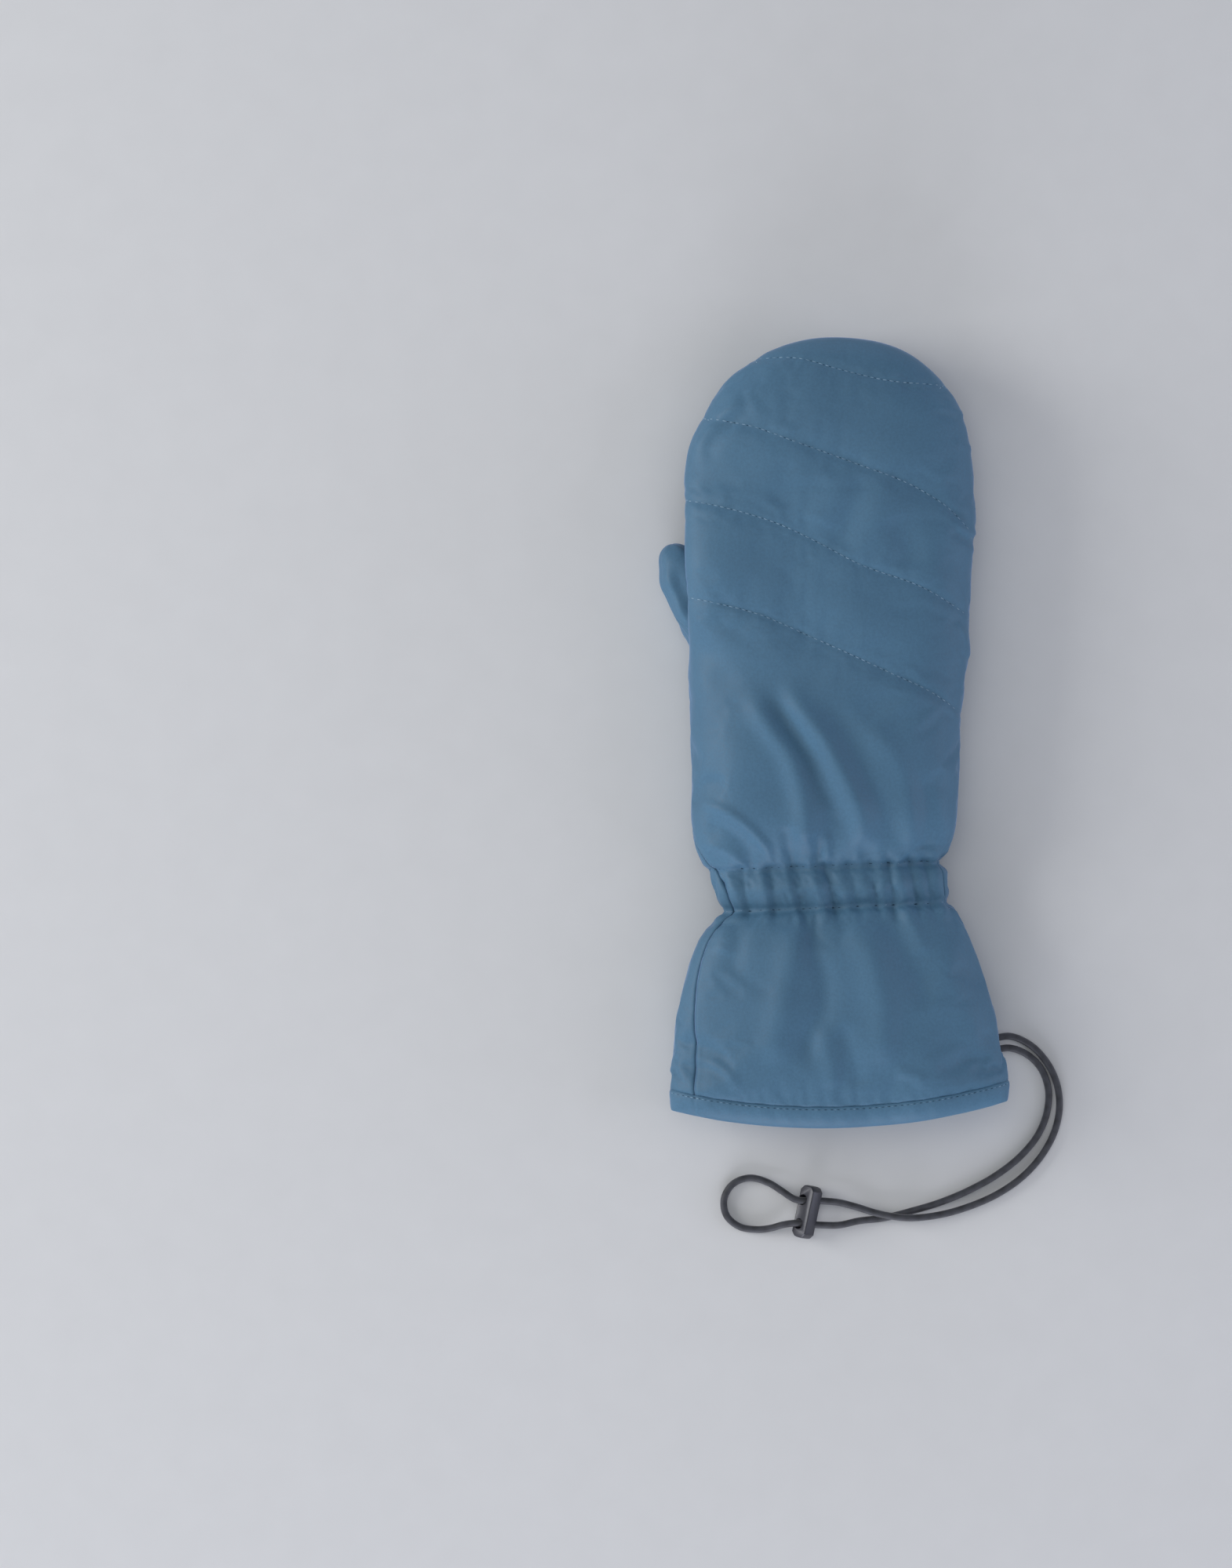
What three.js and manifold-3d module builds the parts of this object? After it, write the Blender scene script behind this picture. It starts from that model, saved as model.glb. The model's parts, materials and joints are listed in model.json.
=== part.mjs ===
// A padded ski mitten for the right hand, lying palm down: a hand section with a separate thumb, an
// elasticated wrist, a flared gauntlet cuff with a bound hem, and a safety leash with its cord lock.
// Millimetres. +X is away from the thumb, +Y towards the fingertips, +Z up out of the back of the hand.
// The origin is under the middle of the mitten (leash left out), on the surface that it lies on.
import * as THREE from "three";
import { mergeVertices } from "three/addons/utils/BufferGeometryUtils.js";
import Module from "manifold-3d";

const wasm = await Module();
wasm.setup();

// ---- Driving dimensions -------------------------------------------------------------------------
const HALF_LENGTH = 167.7; // fingertip and hem are this far from the origin along Y
const GAP = 0.3; // between sewn layers and between neighbouring panels
const RING_SIDES = 24; // facets round the mitten's section
const SQUARENESS = 2.5; // superellipse exponent of the section: 2 is an ellipse
const FLOOR_SINK = 1.5; // depth pressed flat where the padding lies on the surface

// Depths of the layers below the outer surface: [outer face, inner face].
const SHELL = [0, 1.2];
const HAND_PADDING = [SHELL[1] + GAP, 6.5];
const HAND_LINING = [HAND_PADDING[1] + GAP, 8.3];
const CUFF_PADDING = [SHELL[1] + GAP, 4];
const CUFF_LINING = [CUFF_PADDING[1] + GAP, 5.8];
const ELASTIC = [SHELL[1] + GAP, 3];
const WRIST_LINING = [ELASTIC[1] + GAP, 4.8];
const THUMB_SHELL = [0, 1];
const THUMB_PADDING = [THUMB_SHELL[1] + GAP, 2.8];
const THUMB_LINING = [THUMB_PADDING[1] + GAP, 4];

// Where the panels end along Y.
const WRIST_TOP = -57;
const WRIST_BOTTOM = -75;
const HEM_HEIGHT = 12;
const HEM_RISE = 7; // the hem's corners stand this much higher than its middle
const HEM_HALF_WIDTH = 72;
const ELASTIC_MARGIN = 1.5; // the elastic stops this far inside its two rows of stitching
const HAND_SEAM_Z = 22;
const CUFF_SEAM_Z = 19;

// Hand, wrist and cuff: [y, left edge x, right edge x, underside z, thickness].
const THICKNESS = 44;
const FINGER_BASE = 104; // the rounded fingertip end starts here
const STATIONS = [
  [-176, -70.5, 75.5, 0, 38],
  [-150, -69, 73.2, 0, 38],
  [-120, -65.2, 67.2, 0, 38],
  [-95, -59.5, 60, 0, 38],
  [-82, -53, 55.5, 1, 37],
  [WRIST_BOTTOM, -48, 50, 3, 34],
  [(WRIST_TOP + WRIST_BOTTOM) / 2, -51.5, 49.5, 2, 36],
  [WRIST_TOP, -54.5, 47, 3, 35],
  [-45, -60, 50.5, 0, 41],
  [-15, -60.8, 53.5, 0, THICKNESS],
  [20, -61, 55.8, 0, THICKNESS],
  [50, -62.8, 58, 0, THICKNESS],
  [80, -63.8, 59.6, 0, THICKNESS],
  [FINGER_BASE, -63.6, 59.6, 0, 43],
];
const TIP_ANGLES = [20, 40, 58, 74, 84];
const TIP_THINNING = 0.6; // how the thickness falls towards the fingertip seam

// The edge over the thumb rises, because the thumb is tucked beside and under it.
const LIFT = 16;
const LIFT_FROM_X = -14;
const LIFT_TO_X = -62;
const LIFT_MIDDLE_Y = 70;
const LIFT_REACH_Y = 50;
const LIFT_AT_TOP = 0.3; // share of the rise left on the back of the hand

// Thumb: its own Y axis runs from the pivot at its root to its tip.
const THUMB_PIVOT = new THREE.Vector2(-51.6, 38);
const THUMB_LEAN = THREE.MathUtils.degToRad(22);
const THUMB_HALF_WIDTH = 10.3;
const THUMB_THICKNESS = 26;
const THUMB_UNDERSIDE = 0.6;
const THUMB_LENGTH = 46; // pivot to tip
const THUMB_TIP_LENGTH = 15;
const THUMB_ROOT = -6; // the stall's open end, behind the pivot
const THUMB_IN = THREE.MathUtils.degToRad(5);
const THUMB_OUT = THREE.MathUtils.degToRad(30);
const THUMB_HOLE = 15; // clear radius round the pivot and half width of the slot

// Leash: one cord, both ends in a tab under the cuff's little-finger edge, through a two-hole lock.
const CORD_RADIUS = 1.5;
const CORD_SIDES = 8;
const CORD_STEPS = 72;
const TAB_SIZE = new THREE.Vector3(10, 11, 3.8);
const TAB_CENTRE = new THREE.Vector3(63.4, -133.8, 4.2);
const LOCK_CENTRE = new THREE.Vector3(-10.8, -205.6, 4.35);
const LOCK_LENGTH = 22;
const LOCK_WIDTH = 8;
const LOCK_DEPTH = 5.2;
const LOCK_BEVEL = 0.8;
const LOCK_HOLE_RADIUS = 1.95;
const LOCK_HOLE_SPACING = 10.35;
const LOCK_TURN = THREE.MathUtils.degToRad(-12); // in plan
const LOCK_ROLL = THREE.MathUtils.degToRad(36); // about its own length
const SLIDE_TURN = THREE.MathUtils.degToRad(-4); // the strands' direction through the lock, in plan
const CORD_POINTS = [
  [69, -131.2, 4.2],
  [76, -130.4, 2.6],
  [84, -133.6, 1.6],
  [91.5, -141, 1.6],
  [96.3, -151, 1.6],
  [97.4, -161, 1.6],
  [95.4, -171, 1.6],
  [90.2, -181, 1.6],
  [82, -190.3, 1.6],
  [71.4, -197.8, 1.6],
  [58.6, -203.5, 1.7],
  [45.2, -207.1, 2.7],
  [32, -208.1, 4.7],
  [19, -206.2, 3.5],
  [10, -203.4, 4],
  [3, -201.6, 4.35],
  [-5, -200.8, 4.35],
  [-16.5, -200, 4.35],
  [-21.5, -196.8, 3.4],
  [-27.5, -193.2, 1.9],
  [-35.6, -191.2, 1.6],
  [-42.8, -194, 1.6],
  [-46.4, -200.4, 1.6],
  [-45.4, -207.2, 1.6],
  [-40.2, -211.9, 1.6],
  [-33, -213.3, 1.6],
  [-26, -212.6, 2.4],
  [-21.5, -211.2, 3.8],
  [-16.5, -210.4, 4.35],
  [-5, -211.2, 4.35],
  [3, -211.2, 4.35],
  [11, -209.6, 2.9],
  [22, -208.4, 1.6],
  [34, -205.4, 1.6],
  [46, -201.8, 1.6],
  [58.5, -196.6, 1.6],
  [70.4, -190, 1.6],
  [81, -181.6, 1.6],
  [88.4, -172.4, 1.6],
  [92.2, -162.4, 1.6],
  [92.4, -152, 1.6],
  [88.6, -143, 1.6],
  [82, -137.4, 1.7],
  [75.4, -135.4, 2.8],
  [69, -136.4, 4.2],
];

// ---- Materials ----------------------------------------------------------------------------------
const finish = (color, roughness) => new THREE.MeshStandardMaterial({ color, roughness, metalness: 0 });
const shellFabric = finish(0x4c7190, 0.85);
const paddingWadding = finish(0xe6e6e2, 0.95);
const liningFleece = finish(0x3d5468, 0.95);
const elasticWebbing = finish(0xd8d8d4, 0.8);
const leashCord = finish(0x3c3c40, 0.75);
const lockPlastic = finish(0x45454b, 0.45);
const labelTape = finish(0xdedede, 0.8);

// ---- Solids -------------------------------------------------------------------------------------
// A closed three.js geometry as a manifold-3d solid.
function solidOf(geometry, matrix = new THREE.Matrix4()) {
  const bare = new THREE.BufferGeometry();
  bare.setAttribute("position", geometry.getAttribute("position").clone());
  if (geometry.index) bare.setIndex(geometry.index.clone());
  const merged = mergeVertices(bare.applyMatrix4(matrix), 1e-4);
  const mesh = new wasm.Mesh({
    numProp: 3,
    vertProperties: merged.getAttribute("position").array,
    triVerts: new Uint32Array(merged.index.array),
  });
  return new wasm.Manifold(mesh);
}

// The largest body of a solid, as a named three.js mesh.
function meshOf(name, solid, material) {
  const bodies = solid.decompose().sort((a, b) => b.volume() - a.volume());
  const { vertProperties, triVerts } = bodies[0].getMesh();
  const geometry = new THREE.BufferGeometry();
  geometry.setAttribute("position", new THREE.BufferAttribute(vertProperties, 3));
  geometry.setIndex(new THREE.BufferAttribute(triVerts, 1));
  geometry.computeVertexNormals();
  const mesh = new THREE.Mesh(geometry, material);
  mesh.name = name;
  return mesh;
}

// A closed skin over rings of points, with a flat cap over the first ring and a point at the last end.
function loft(rings, apex) {
  const sides = rings[0].length;
  const positions = [...rings.flat(), rings[0].reduce((sum, p) => sum.add(p), new THREE.Vector3())
    .divideScalar(sides), apex];
  const capCentre = rings.length * sides;
  const index = [];
  for (let side = 0; side < sides; side++) {
    const next = (side + 1) % sides;
    for (let ring = 0; ring + 1 < rings.length; ring++) {
      const [a, b] = [ring * sides + side, ring * sides + next];
      const [c, d] = [a + sides, b + sides];
      index.push(a, c, b, b, c, d);
    }
    const last = (rings.length - 1) * sides;
    index.push(capCentre, side, next);
    index.push(capCentre + 1, last + next, last + side);
  }
  const geometry = new THREE.BufferGeometry().setFromPoints(positions);
  geometry.setIndex(index);
  return geometry;
}

const power = (value, exponent) => Math.sign(value) * Math.abs(value) ** exponent;

// A ring of the section: a superellipse whose underside is flattened at the height of its own layer.
function ring({ y, middle, halfWidth, floor, underside, halfHeight, lifted }) {
  return Array.from({ length: RING_SIDES }, (_, side) => {
    const angle = (2 * Math.PI * side) / RING_SIDES;
    const x = middle + halfWidth * power(Math.cos(angle), 2 / SQUARENESS);
    const up = power(Math.sin(angle), 2 / SQUARENESS);
    const z = Math.max(floor, underside - FLOOR_SINK / 2 + halfHeight + (halfHeight + FLOOR_SINK / 2) * up);
    return new THREE.Vector3(x, y, z + (lifted ? lift(x, y, z) : 0));
  });
}

// How far the edge over the thumb is raised.
function lift(x, y, z) {
  const across = THREE.MathUtils.smoothstep(-x, -LIFT_FROM_X, -LIFT_TO_X);
  const along = Math.max(0, 1 - ((y - LIFT_MIDDLE_Y) / LIFT_REACH_Y) ** 2) ** 2;
  const share = THREE.MathUtils.lerp(1, LIFT_AT_TOP, z / THICKNESS);
  return LIFT * across * along * share;
}

// The mitten's outer form without the thumb, shrunk by a depth on every side.
function envelope(depth) {
  const rings = STATIONS.map(([y, left, right, underside, thickness]) =>
    ring({
      y,
      middle: (left + right) / 2,
      halfWidth: (right - left) / 2 - depth,
      floor: underside + depth,
      underside: underside + depth,
      halfHeight: thickness / 2 - depth,
      lifted: true,
    }),
  );
  const [, left, right, , thickness] = STATIONS.at(-1);
  const tipLength = HALF_LENGTH - FINGER_BASE - depth;
  for (const degrees of TIP_ANGLES) {
    const angle = THREE.MathUtils.degToRad(degrees);
    const thinning = Math.cos(angle) ** TIP_THINNING;
    const halfHeight = (thickness / 2 - depth) * thinning;
    rings.push(
      ring({
        y: FINGER_BASE + tipLength * Math.sin(angle),
        middle: (left + right) / 2,
        halfWidth: ((right - left) / 2 - depth) * Math.cos(angle),
        floor: depth,
        underside: thickness / 2 - halfHeight,
        halfHeight,
        lifted: true,
      }),
    );
  }
  return solidOf(loft(rings, new THREE.Vector3((left + right) / 2, HALF_LENGTH - depth, thickness / 2)));
}

// The thumb stall's outer form, shrunk by a depth. It starts well behind the stall's open end.
function thumbEnvelope(depth) {
  const base = THUMB_LENGTH - THUMB_TIP_LENGTH;
  const profile = [
    [3 * THUMB_ROOT, 1],
    [base / 2, 1.02],
    [base, 1],
  ];
  const shape = (y, share) =>
    ring({
      y,
      middle: 0,
      halfWidth: (THUMB_HALF_WIDTH - depth) * share,
      floor: THUMB_UNDERSIDE + depth,
      underside: THUMB_UNDERSIDE + THUMB_THICKNESS / 2 - (THUMB_THICKNESS / 2 - depth) * share,
      halfHeight: (THUMB_THICKNESS / 2 - depth) * share,
      lifted: false,
    });
  const rings = profile.map(([y, share]) => shape(y, share));
  for (const degrees of [28, 52, 74]) {
    const angle = THREE.MathUtils.degToRad(degrees);
    rings.push(shape(base + (THUMB_TIP_LENGTH - depth) * Math.sin(angle), Math.cos(angle) ** 0.8));
  }
  const tip = new THREE.Vector3(0, THUMB_LENGTH - depth, THUMB_UNDERSIDE + THUMB_THICKNESS / 2);
  return solidOf(loft(rings, tip), thumbPlace());
}

// From the thumb's own frame to the mitten's.
function thumbPlace() {
  return new THREE.Matrix4()
    .makeTranslation(THUMB_PIVOT.x, THUMB_PIVOT.y, 0)
    .multiply(new THREE.Matrix4().makeRotationZ(THUMB_LEAN));
}

// Everything on the tip's side of a line across the thumb's root.
function thumbSpan(root) {
  const block = new THREE.BoxGeometry(100, 200, 100);
  return solidOf(block, thumbPlace().multiply(new THREE.Matrix4().makeTranslation(0, 100 + root, 0)));
}

// One sewn layer: the space between two depths.
const layer = ([outer, inner], form) => form(outer).subtract(form(inner));

// A block over the whole mitten between two heights.
function slab(low, high) {
  const block = new THREE.BoxGeometry(300, 500, high - low);
  return solidOf(block, new THREE.Matrix4().makeTranslation(0, 0, (low + high) / 2));
}
const above = (z) => slab(z + GAP / 2, 90);
const below = (z) => slab(-20, z - GAP / 2);

// A block between two Y limits, whose edges may sag in a shallow curve from corner to corner.
function band(low, high, lowSag = 0, highSag = 0) {
  const half = 2 * HEM_HALF_WIDTH; // twice the hem's half width, so a sag grows fourfold
  const outline = new THREE.Shape();
  outline.moveTo(-half, low + 4 * lowSag);
  outline.quadraticCurveTo(0, low - 4 * lowSag, half, low + 4 * lowSag);
  outline.lineTo(half, high + 4 * highSag);
  outline.quadraticCurveTo(0, high - 4 * highSag, -half, high + 4 * highSag);
  outline.closePath();
  const block = new THREE.ExtrudeGeometry(outline, { depth: 120, bevelEnabled: false, curveSegments: 12 });
  return solidOf(block, new THREE.Matrix4().makeTranslation(0, 0, -20));
}

// The space that the thumb sweeps through the palm: round at the pivot, open towards the tip.
function thumbSlot(radius, height) {
  const reach = 90;
  const direction = (turn) => Math.PI / 2 + THUMB_LEAN + turn;
  const along = (turn, side) => {
    const angle = direction(turn);
    return [
      THUMB_PIVOT.x + reach * Math.cos(angle) + side * radius * Math.sin(angle),
      THUMB_PIVOT.y + reach * Math.sin(angle) - side * radius * Math.cos(angle),
    ];
  };
  const outline = new THREE.Shape();
  outline.moveTo(...along(-THUMB_IN, 1));
  outline.lineTo(...along(THUMB_OUT, -1));
  outline.absarc(
    THUMB_PIVOT.x,
    THUMB_PIVOT.y,
    radius,
    direction(THUMB_OUT) + Math.PI / 2,
    direction(-THUMB_IN) + 1.5 * Math.PI,
    false,
  );
  outline.closePath();
  const block = new THREE.ExtrudeGeometry(outline, { depth: height, bevelEnabled: false, curveSegments: 10 });
  return solidOf(block, new THREE.Matrix4().makeTranslation(0, 0, -1));
}

// ---- Hand, wrist and cuff -----------------------------------------------------------------------
const mitten = new THREE.Group();
const handSpan = band(WRIST_TOP + GAP / 2, 200);
const wristSpan = band(WRIST_BOTTOM + GAP / 2, WRIST_TOP - GAP / 2);
const elasticSpan = band(WRIST_BOTTOM + ELASTIC_MARGIN, WRIST_TOP - ELASTIC_MARGIN);
const hemTop = -HALF_LENGTH + HEM_HEIGHT;
const cuffSpan = band(hemTop + GAP / 2, WRIST_BOTTOM - GAP / 2, HEM_RISE, 0);
const hemSpan = band(-HALF_LENGTH, hemTop - GAP / 2, HEM_RISE, HEM_RISE);
const slot = thumbSlot(THUMB_HOLE, THUMB_UNDERSIDE + THUMB_THICKNESS + 1.6);

for (const [kind, depths, material] of [
  ["shell", SHELL, shellFabric],
  ["insulation", HAND_PADDING, paddingWadding],
  ["lining", HAND_LINING, liningFleece],
]) {
  const whole = layer(depths, envelope).intersect(handSpan).subtract(slot);
  mitten.add(meshOf(`back_${kind}`, whole.intersect(above(HAND_SEAM_Z)), material));
  mitten.add(meshOf(`palm_${kind}`, whole.intersect(below(HAND_SEAM_Z)), material));
}
for (const [kind, depths, material] of [
  ["shell", SHELL, shellFabric],
  ["insulation", CUFF_PADDING, paddingWadding],
  ["lining", CUFF_LINING, liningFleece],
]) {
  const whole = layer(depths, envelope).intersect(cuffSpan);
  mitten.add(meshOf(`cuff_back_${kind}`, whole.intersect(above(CUFF_SEAM_Z)), material));
  mitten.add(meshOf(`cuff_palm_${kind}`, whole.intersect(below(CUFF_SEAM_Z)), material));
}
const ringOf = (depths, span) => layer(depths, envelope).intersect(span);
mitten.add(meshOf("wrist_casing", ringOf(SHELL, wristSpan), shellFabric));
mitten.add(meshOf("wrist_elastic", ringOf(ELASTIC, elasticSpan), elasticWebbing));
mitten.add(meshOf("wrist_lining", ringOf(WRIST_LINING, wristSpan), liningFleece));
mitten.add(meshOf("hem_band", ringOf([0, CUFF_LINING[1]], hemSpan), shellFabric));

// ---- Thumb --------------------------------------------------------------------------------------
const thumbLayer = (depths) => layer(depths, thumbEnvelope).intersect(thumbSpan(THUMB_ROOT));
const thumbShell = thumbLayer(THUMB_SHELL);
const thumbSeam = THUMB_UNDERSIDE + THUMB_THICKNESS / 2;
mitten.add(meshOf("thumb_back_shell", thumbShell.intersect(above(thumbSeam)), shellFabric));
mitten.add(meshOf("thumb_palm_shell", thumbShell.intersect(below(thumbSeam)), shellFabric));
mitten.add(meshOf("thumb_insulation", thumbLayer(THUMB_PADDING), paddingWadding));
mitten.add(meshOf("thumb_lining", thumbLayer(THUMB_LINING), liningFleece));

// The gusset fills the palm's thumb hole round the stall.
const gusset = layer(SHELL, envelope)
  .intersect(thumbSlot(THUMB_HOLE - GAP, THUMB_UNDERSIDE + THUMB_THICKNESS + 1))
  .subtract(thumbEnvelope(-GAP).intersect(thumbSpan(THUMB_ROOT - GAP)));
mitten.add(meshOf("thumb_gusset", gusset, shellFabric));

// ---- Care label ---------------------------------------------------------------------------------
const label = new THREE.Mesh(new THREE.BoxGeometry(18, 24, 0.5), labelTape);
label.name = "care_label";
label.position.set(-18, -136, CUFF_LINING[1] + GAP + 0.25);
mitten.add(label);

// ---- Leash --------------------------------------------------------------------------------------
const tab = solidOf(
  new THREE.BoxGeometry(...TAB_SIZE.toArray()),
  new THREE.Matrix4().makeTranslation(...TAB_CENTRE.toArray()),
);
mitten.add(meshOf("leash_anchor_tab", tab.subtract(envelope(-GAP)), shellFabric));

const route = new THREE.CatmullRomCurve3(CORD_POINTS.map((point) => new THREE.Vector3(...point)));
const section = new THREE.Shape(
  Array.from({ length: CORD_SIDES }, (_, side) => {
    const angle = (2 * Math.PI * side) / CORD_SIDES;
    return new THREE.Vector2(Math.cos(angle), Math.sin(angle)).multiplyScalar(CORD_RADIUS);
  }),
);
const cord = new THREE.Mesh(
  new THREE.ExtrudeGeometry(section, { extrudePath: route, steps: CORD_STEPS, bevelEnabled: false }),
  leashCord,
);
cord.name = "leash_cord";
mitten.add(cord);

// The lock's bar is chamfered at its ends and bevelled all round; its holes follow the strands.
const halfLong = LOCK_LENGTH / 2 - LOCK_BEVEL;
const halfWide = LOCK_WIDTH / 2 - LOCK_BEVEL;
const chamfer = 1.6;
const barOutline = new THREE.Shape([
  new THREE.Vector2(-halfWide, chamfer - halfLong),
  new THREE.Vector2(chamfer - halfWide, -halfLong),
  new THREE.Vector2(halfWide - chamfer, -halfLong),
  new THREE.Vector2(halfWide, chamfer - halfLong),
  new THREE.Vector2(halfWide, halfLong - chamfer),
  new THREE.Vector2(halfWide - chamfer, halfLong),
  new THREE.Vector2(chamfer - halfWide, halfLong),
  new THREE.Vector2(-halfWide, halfLong - chamfer),
]);
const bar = new THREE.ExtrudeGeometry(barOutline, {
  depth: LOCK_DEPTH - 2 * LOCK_BEVEL,
  bevelThickness: LOCK_BEVEL,
  bevelSize: LOCK_BEVEL,
  bevelSegments: 1,
});
bar.translate(0, 0, LOCK_BEVEL - LOCK_DEPTH / 2);
const lockPlace = new THREE.Matrix4()
  .makeTranslation(...LOCK_CENTRE.toArray())
  .multiply(new THREE.Matrix4().makeRotationZ(LOCK_TURN))
  .multiply(new THREE.Matrix4().makeRotationY(LOCK_ROLL - Math.PI / 2));
let lock = solidOf(bar, lockPlace);
for (const side of [-1, 1]) {
  const hole = new THREE.CylinderGeometry(LOCK_HOLE_RADIUS, LOCK_HOLE_RADIUS, 30, 16);
  const holePlace = new THREE.Matrix4()
    .makeTranslation(...LOCK_CENTRE.toArray())
    .multiply(new THREE.Matrix4().makeRotationZ(SLIDE_TURN))
    .multiply(new THREE.Matrix4().makeTranslation(0, (side * LOCK_HOLE_SPACING) / 2, 0))
    .multiply(new THREE.Matrix4().makeRotationZ(Math.PI / 2));
  lock = lock.subtract(solidOf(hole, holePlace));
}
mitten.add(meshOf("cord_lock", lock, lockPlastic));

export default mitten;
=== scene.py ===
"""The visible pieces of a padded ski mitten, made round its CAD frame.

The outer shell is two panels, back and palm, that meet at side seams and run from the fingertips to
the hem. Both start as one smooth form, are blown up as cloth between their rows of stitching, and then
take their folds, gathers and seams. The thumb, hem binding, lining, stitches, label, leash and cord
lock are pieces of their own. Lengths are in millimetres in this file and become metres in the meshes.
"""

import json
import math
import random

import bmesh
import bpy
import numpy as np
from mathutils import Matrix, Vector
from mathutils.bvhtree import BVHTree


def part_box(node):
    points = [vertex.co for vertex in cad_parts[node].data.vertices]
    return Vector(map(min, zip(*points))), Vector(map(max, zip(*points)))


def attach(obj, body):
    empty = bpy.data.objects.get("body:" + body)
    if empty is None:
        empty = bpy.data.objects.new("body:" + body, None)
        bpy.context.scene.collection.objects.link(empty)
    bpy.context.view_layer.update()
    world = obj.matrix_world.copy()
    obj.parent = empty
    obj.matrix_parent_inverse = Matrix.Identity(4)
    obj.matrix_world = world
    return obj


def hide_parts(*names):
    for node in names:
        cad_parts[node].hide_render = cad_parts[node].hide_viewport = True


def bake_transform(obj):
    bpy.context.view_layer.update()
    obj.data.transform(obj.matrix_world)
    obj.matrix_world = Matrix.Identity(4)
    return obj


bl_info = {
    "name": "Padded ski mitten",
    "version": (1, 0, 0),
    "blender": (4, 5, 0),
    "location": "View3D > Sidebar > Mitten",
    "description": "Makes a quilted ski mitten with an elasticated wrist, a gauntlet cuff and a leash",
    "category": "Add Mesh",
}

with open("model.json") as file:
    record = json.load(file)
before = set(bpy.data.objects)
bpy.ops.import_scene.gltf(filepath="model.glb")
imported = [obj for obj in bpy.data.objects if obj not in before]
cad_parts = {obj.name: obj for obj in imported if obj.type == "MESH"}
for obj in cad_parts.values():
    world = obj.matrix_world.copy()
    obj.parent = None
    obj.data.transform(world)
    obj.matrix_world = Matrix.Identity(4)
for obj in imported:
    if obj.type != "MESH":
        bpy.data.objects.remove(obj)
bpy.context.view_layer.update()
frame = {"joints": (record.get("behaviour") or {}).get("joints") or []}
MM = 0.001

# ---- The mitten's form ---------------------------------------------------------------------------
# Edges of the mitten seen from above, as (y, x), from the hem to where the rounded fingertips start.
LEFT_EDGE = [
    (-168, -70), (-150, -69.2), (-136, -67.3), (-120, -65.2), (-105, -62.6), (-94, -59.8), (-84, -55.4),
    (-78, -50.6), (-74, -47.6), (-69, -49.2), (-60, -52.4), (-54, -56.2), (-49, -58.4), (-41, -60.2),
    (-22, -60.8), (4, -60.5), (18, -60.8), (40, -61.8), (64, -63.1), (84, -63.9), (104, -63.6),
]
RIGHT_EDGE = [
    (-168, 75.4), (-150, 73), (-136, 70.4), (-121, 67.4), (-107, 63.6), (-93, 58.8), (-83, 54.8),
    (-78, 52.4), (-74, 49.4), (-69, 49), (-62, 48.3), (-58, 46.4), (-53, 48.8), (-47, 50.6),
    (-22, 53), (4, 54.2), (20, 56), (44, 57.7), (64, 58.6), (84, 59.8), (104, 59.4),
]
# Heights of the back of the hand and of the underside, as (y, z).
TOP_HEIGHT = [
    (-168, 37), (-140, 38), (-110, 39), (-90, 38), (-80, 35.5), (-74, 32.5), (-66, 34.5), (-58, 33),
    (-52, 36), (-40, 40.5), (-20, 43), (20, 44), (70, 44), (104, 42.5),
]
UNDERSIDE = [
    (-168, 0), (-90, 0), (-80, 1.2), (-74, 3.6), (-66, 2.2), (-58, 3.4), (-52, 1), (-44, 0), (104, 0),
]
FINGER_BASE = 104  # the rounded fingertip end starts here
TIP_MIDDLE_X = -2
TIP_SQUARENESS = (1.97, 2.4)  # thumb side, other side
TIP_THINNING = 0.6
SQUARENESS = 2.5  # of the section: 2 is an ellipse
FLOOR_SINK = 1.5  # how far the section's lower curve dips under the floor before it is cut flat

HEM_SEAM = -158.8  # where the binding is sewn on, at the mitten's middle
HEM_RISE = 9.4  # how much higher the hem stands at its corners
HEM_MIDDLE_X = -6
HEM_HALF_WIDTH = 76
ROW_TOP = -57.5  # the two rows of stitching that hold the wrist elastic
ROW_BOTTOM = -74.5
ROW_SLOPE = 0.045  # the rows run uphill, away from the thumb
ROW_SLOPE_REACH = 36

# The side seams, as (y, distance in from the edge), less than nothing where they lie under it. The
# thumb side's seam rolls onto the back of the cuff.
THUMB_SIDE_SEAM = [
    (-156, 10.4), (-143, 8.6), (-126, 6.4), (-108, 4.6), (-92, 3.4), (-80, 3.6), (-74, 4.6), (-66, 4.8),
    (-58, 5), (-50, 1.6), (-40, -0.6), (-20, -1.4), (104, -1.4),
]
OTHER_SIDE_SEAM = [
    (-156, -0.5), (-90, -0.6), (-78, 0.6), (-72, 3.4), (-62, 3.6), (-55, 1), (-44, -1), (104, -1.2),
]

# The thumb-side edge rises over the thumb, which is tucked beside and under it.
LIFT = 16
LIFT_FROM_X = -14
LIFT_TO_X = -62
LIFT_MIDDLE_Y = 70
LIFT_REACH_Y = 50
LIFT_AT_TOP = 0.3
THICKNESS = 44

# ---- Stitching and folds on the back, each a line of (x, y) points ---------------------------------
QUILT_LINES = [
    [(-34, 158), (-17, 158), (3, 152.6), (22, 148.2), (46, 146.6)],
    [(-55, 132.8), (-48, 131.5), (-35, 128.7), (-20, 123.2), (7, 113.4), (35, 102.4), (47, 95), (60, 82)],
    [(-64, 98), (-54, 96), (-39, 92.2), (-26, 88), (-7, 79.2), (8, 71.2), (38, 60), (59, 47.5)],
    [(-63, 56.8), (-52, 54.3), (-35, 50), (-8, 38.6), (22, 25), (42, 15.6), (57, 5)],
]
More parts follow.
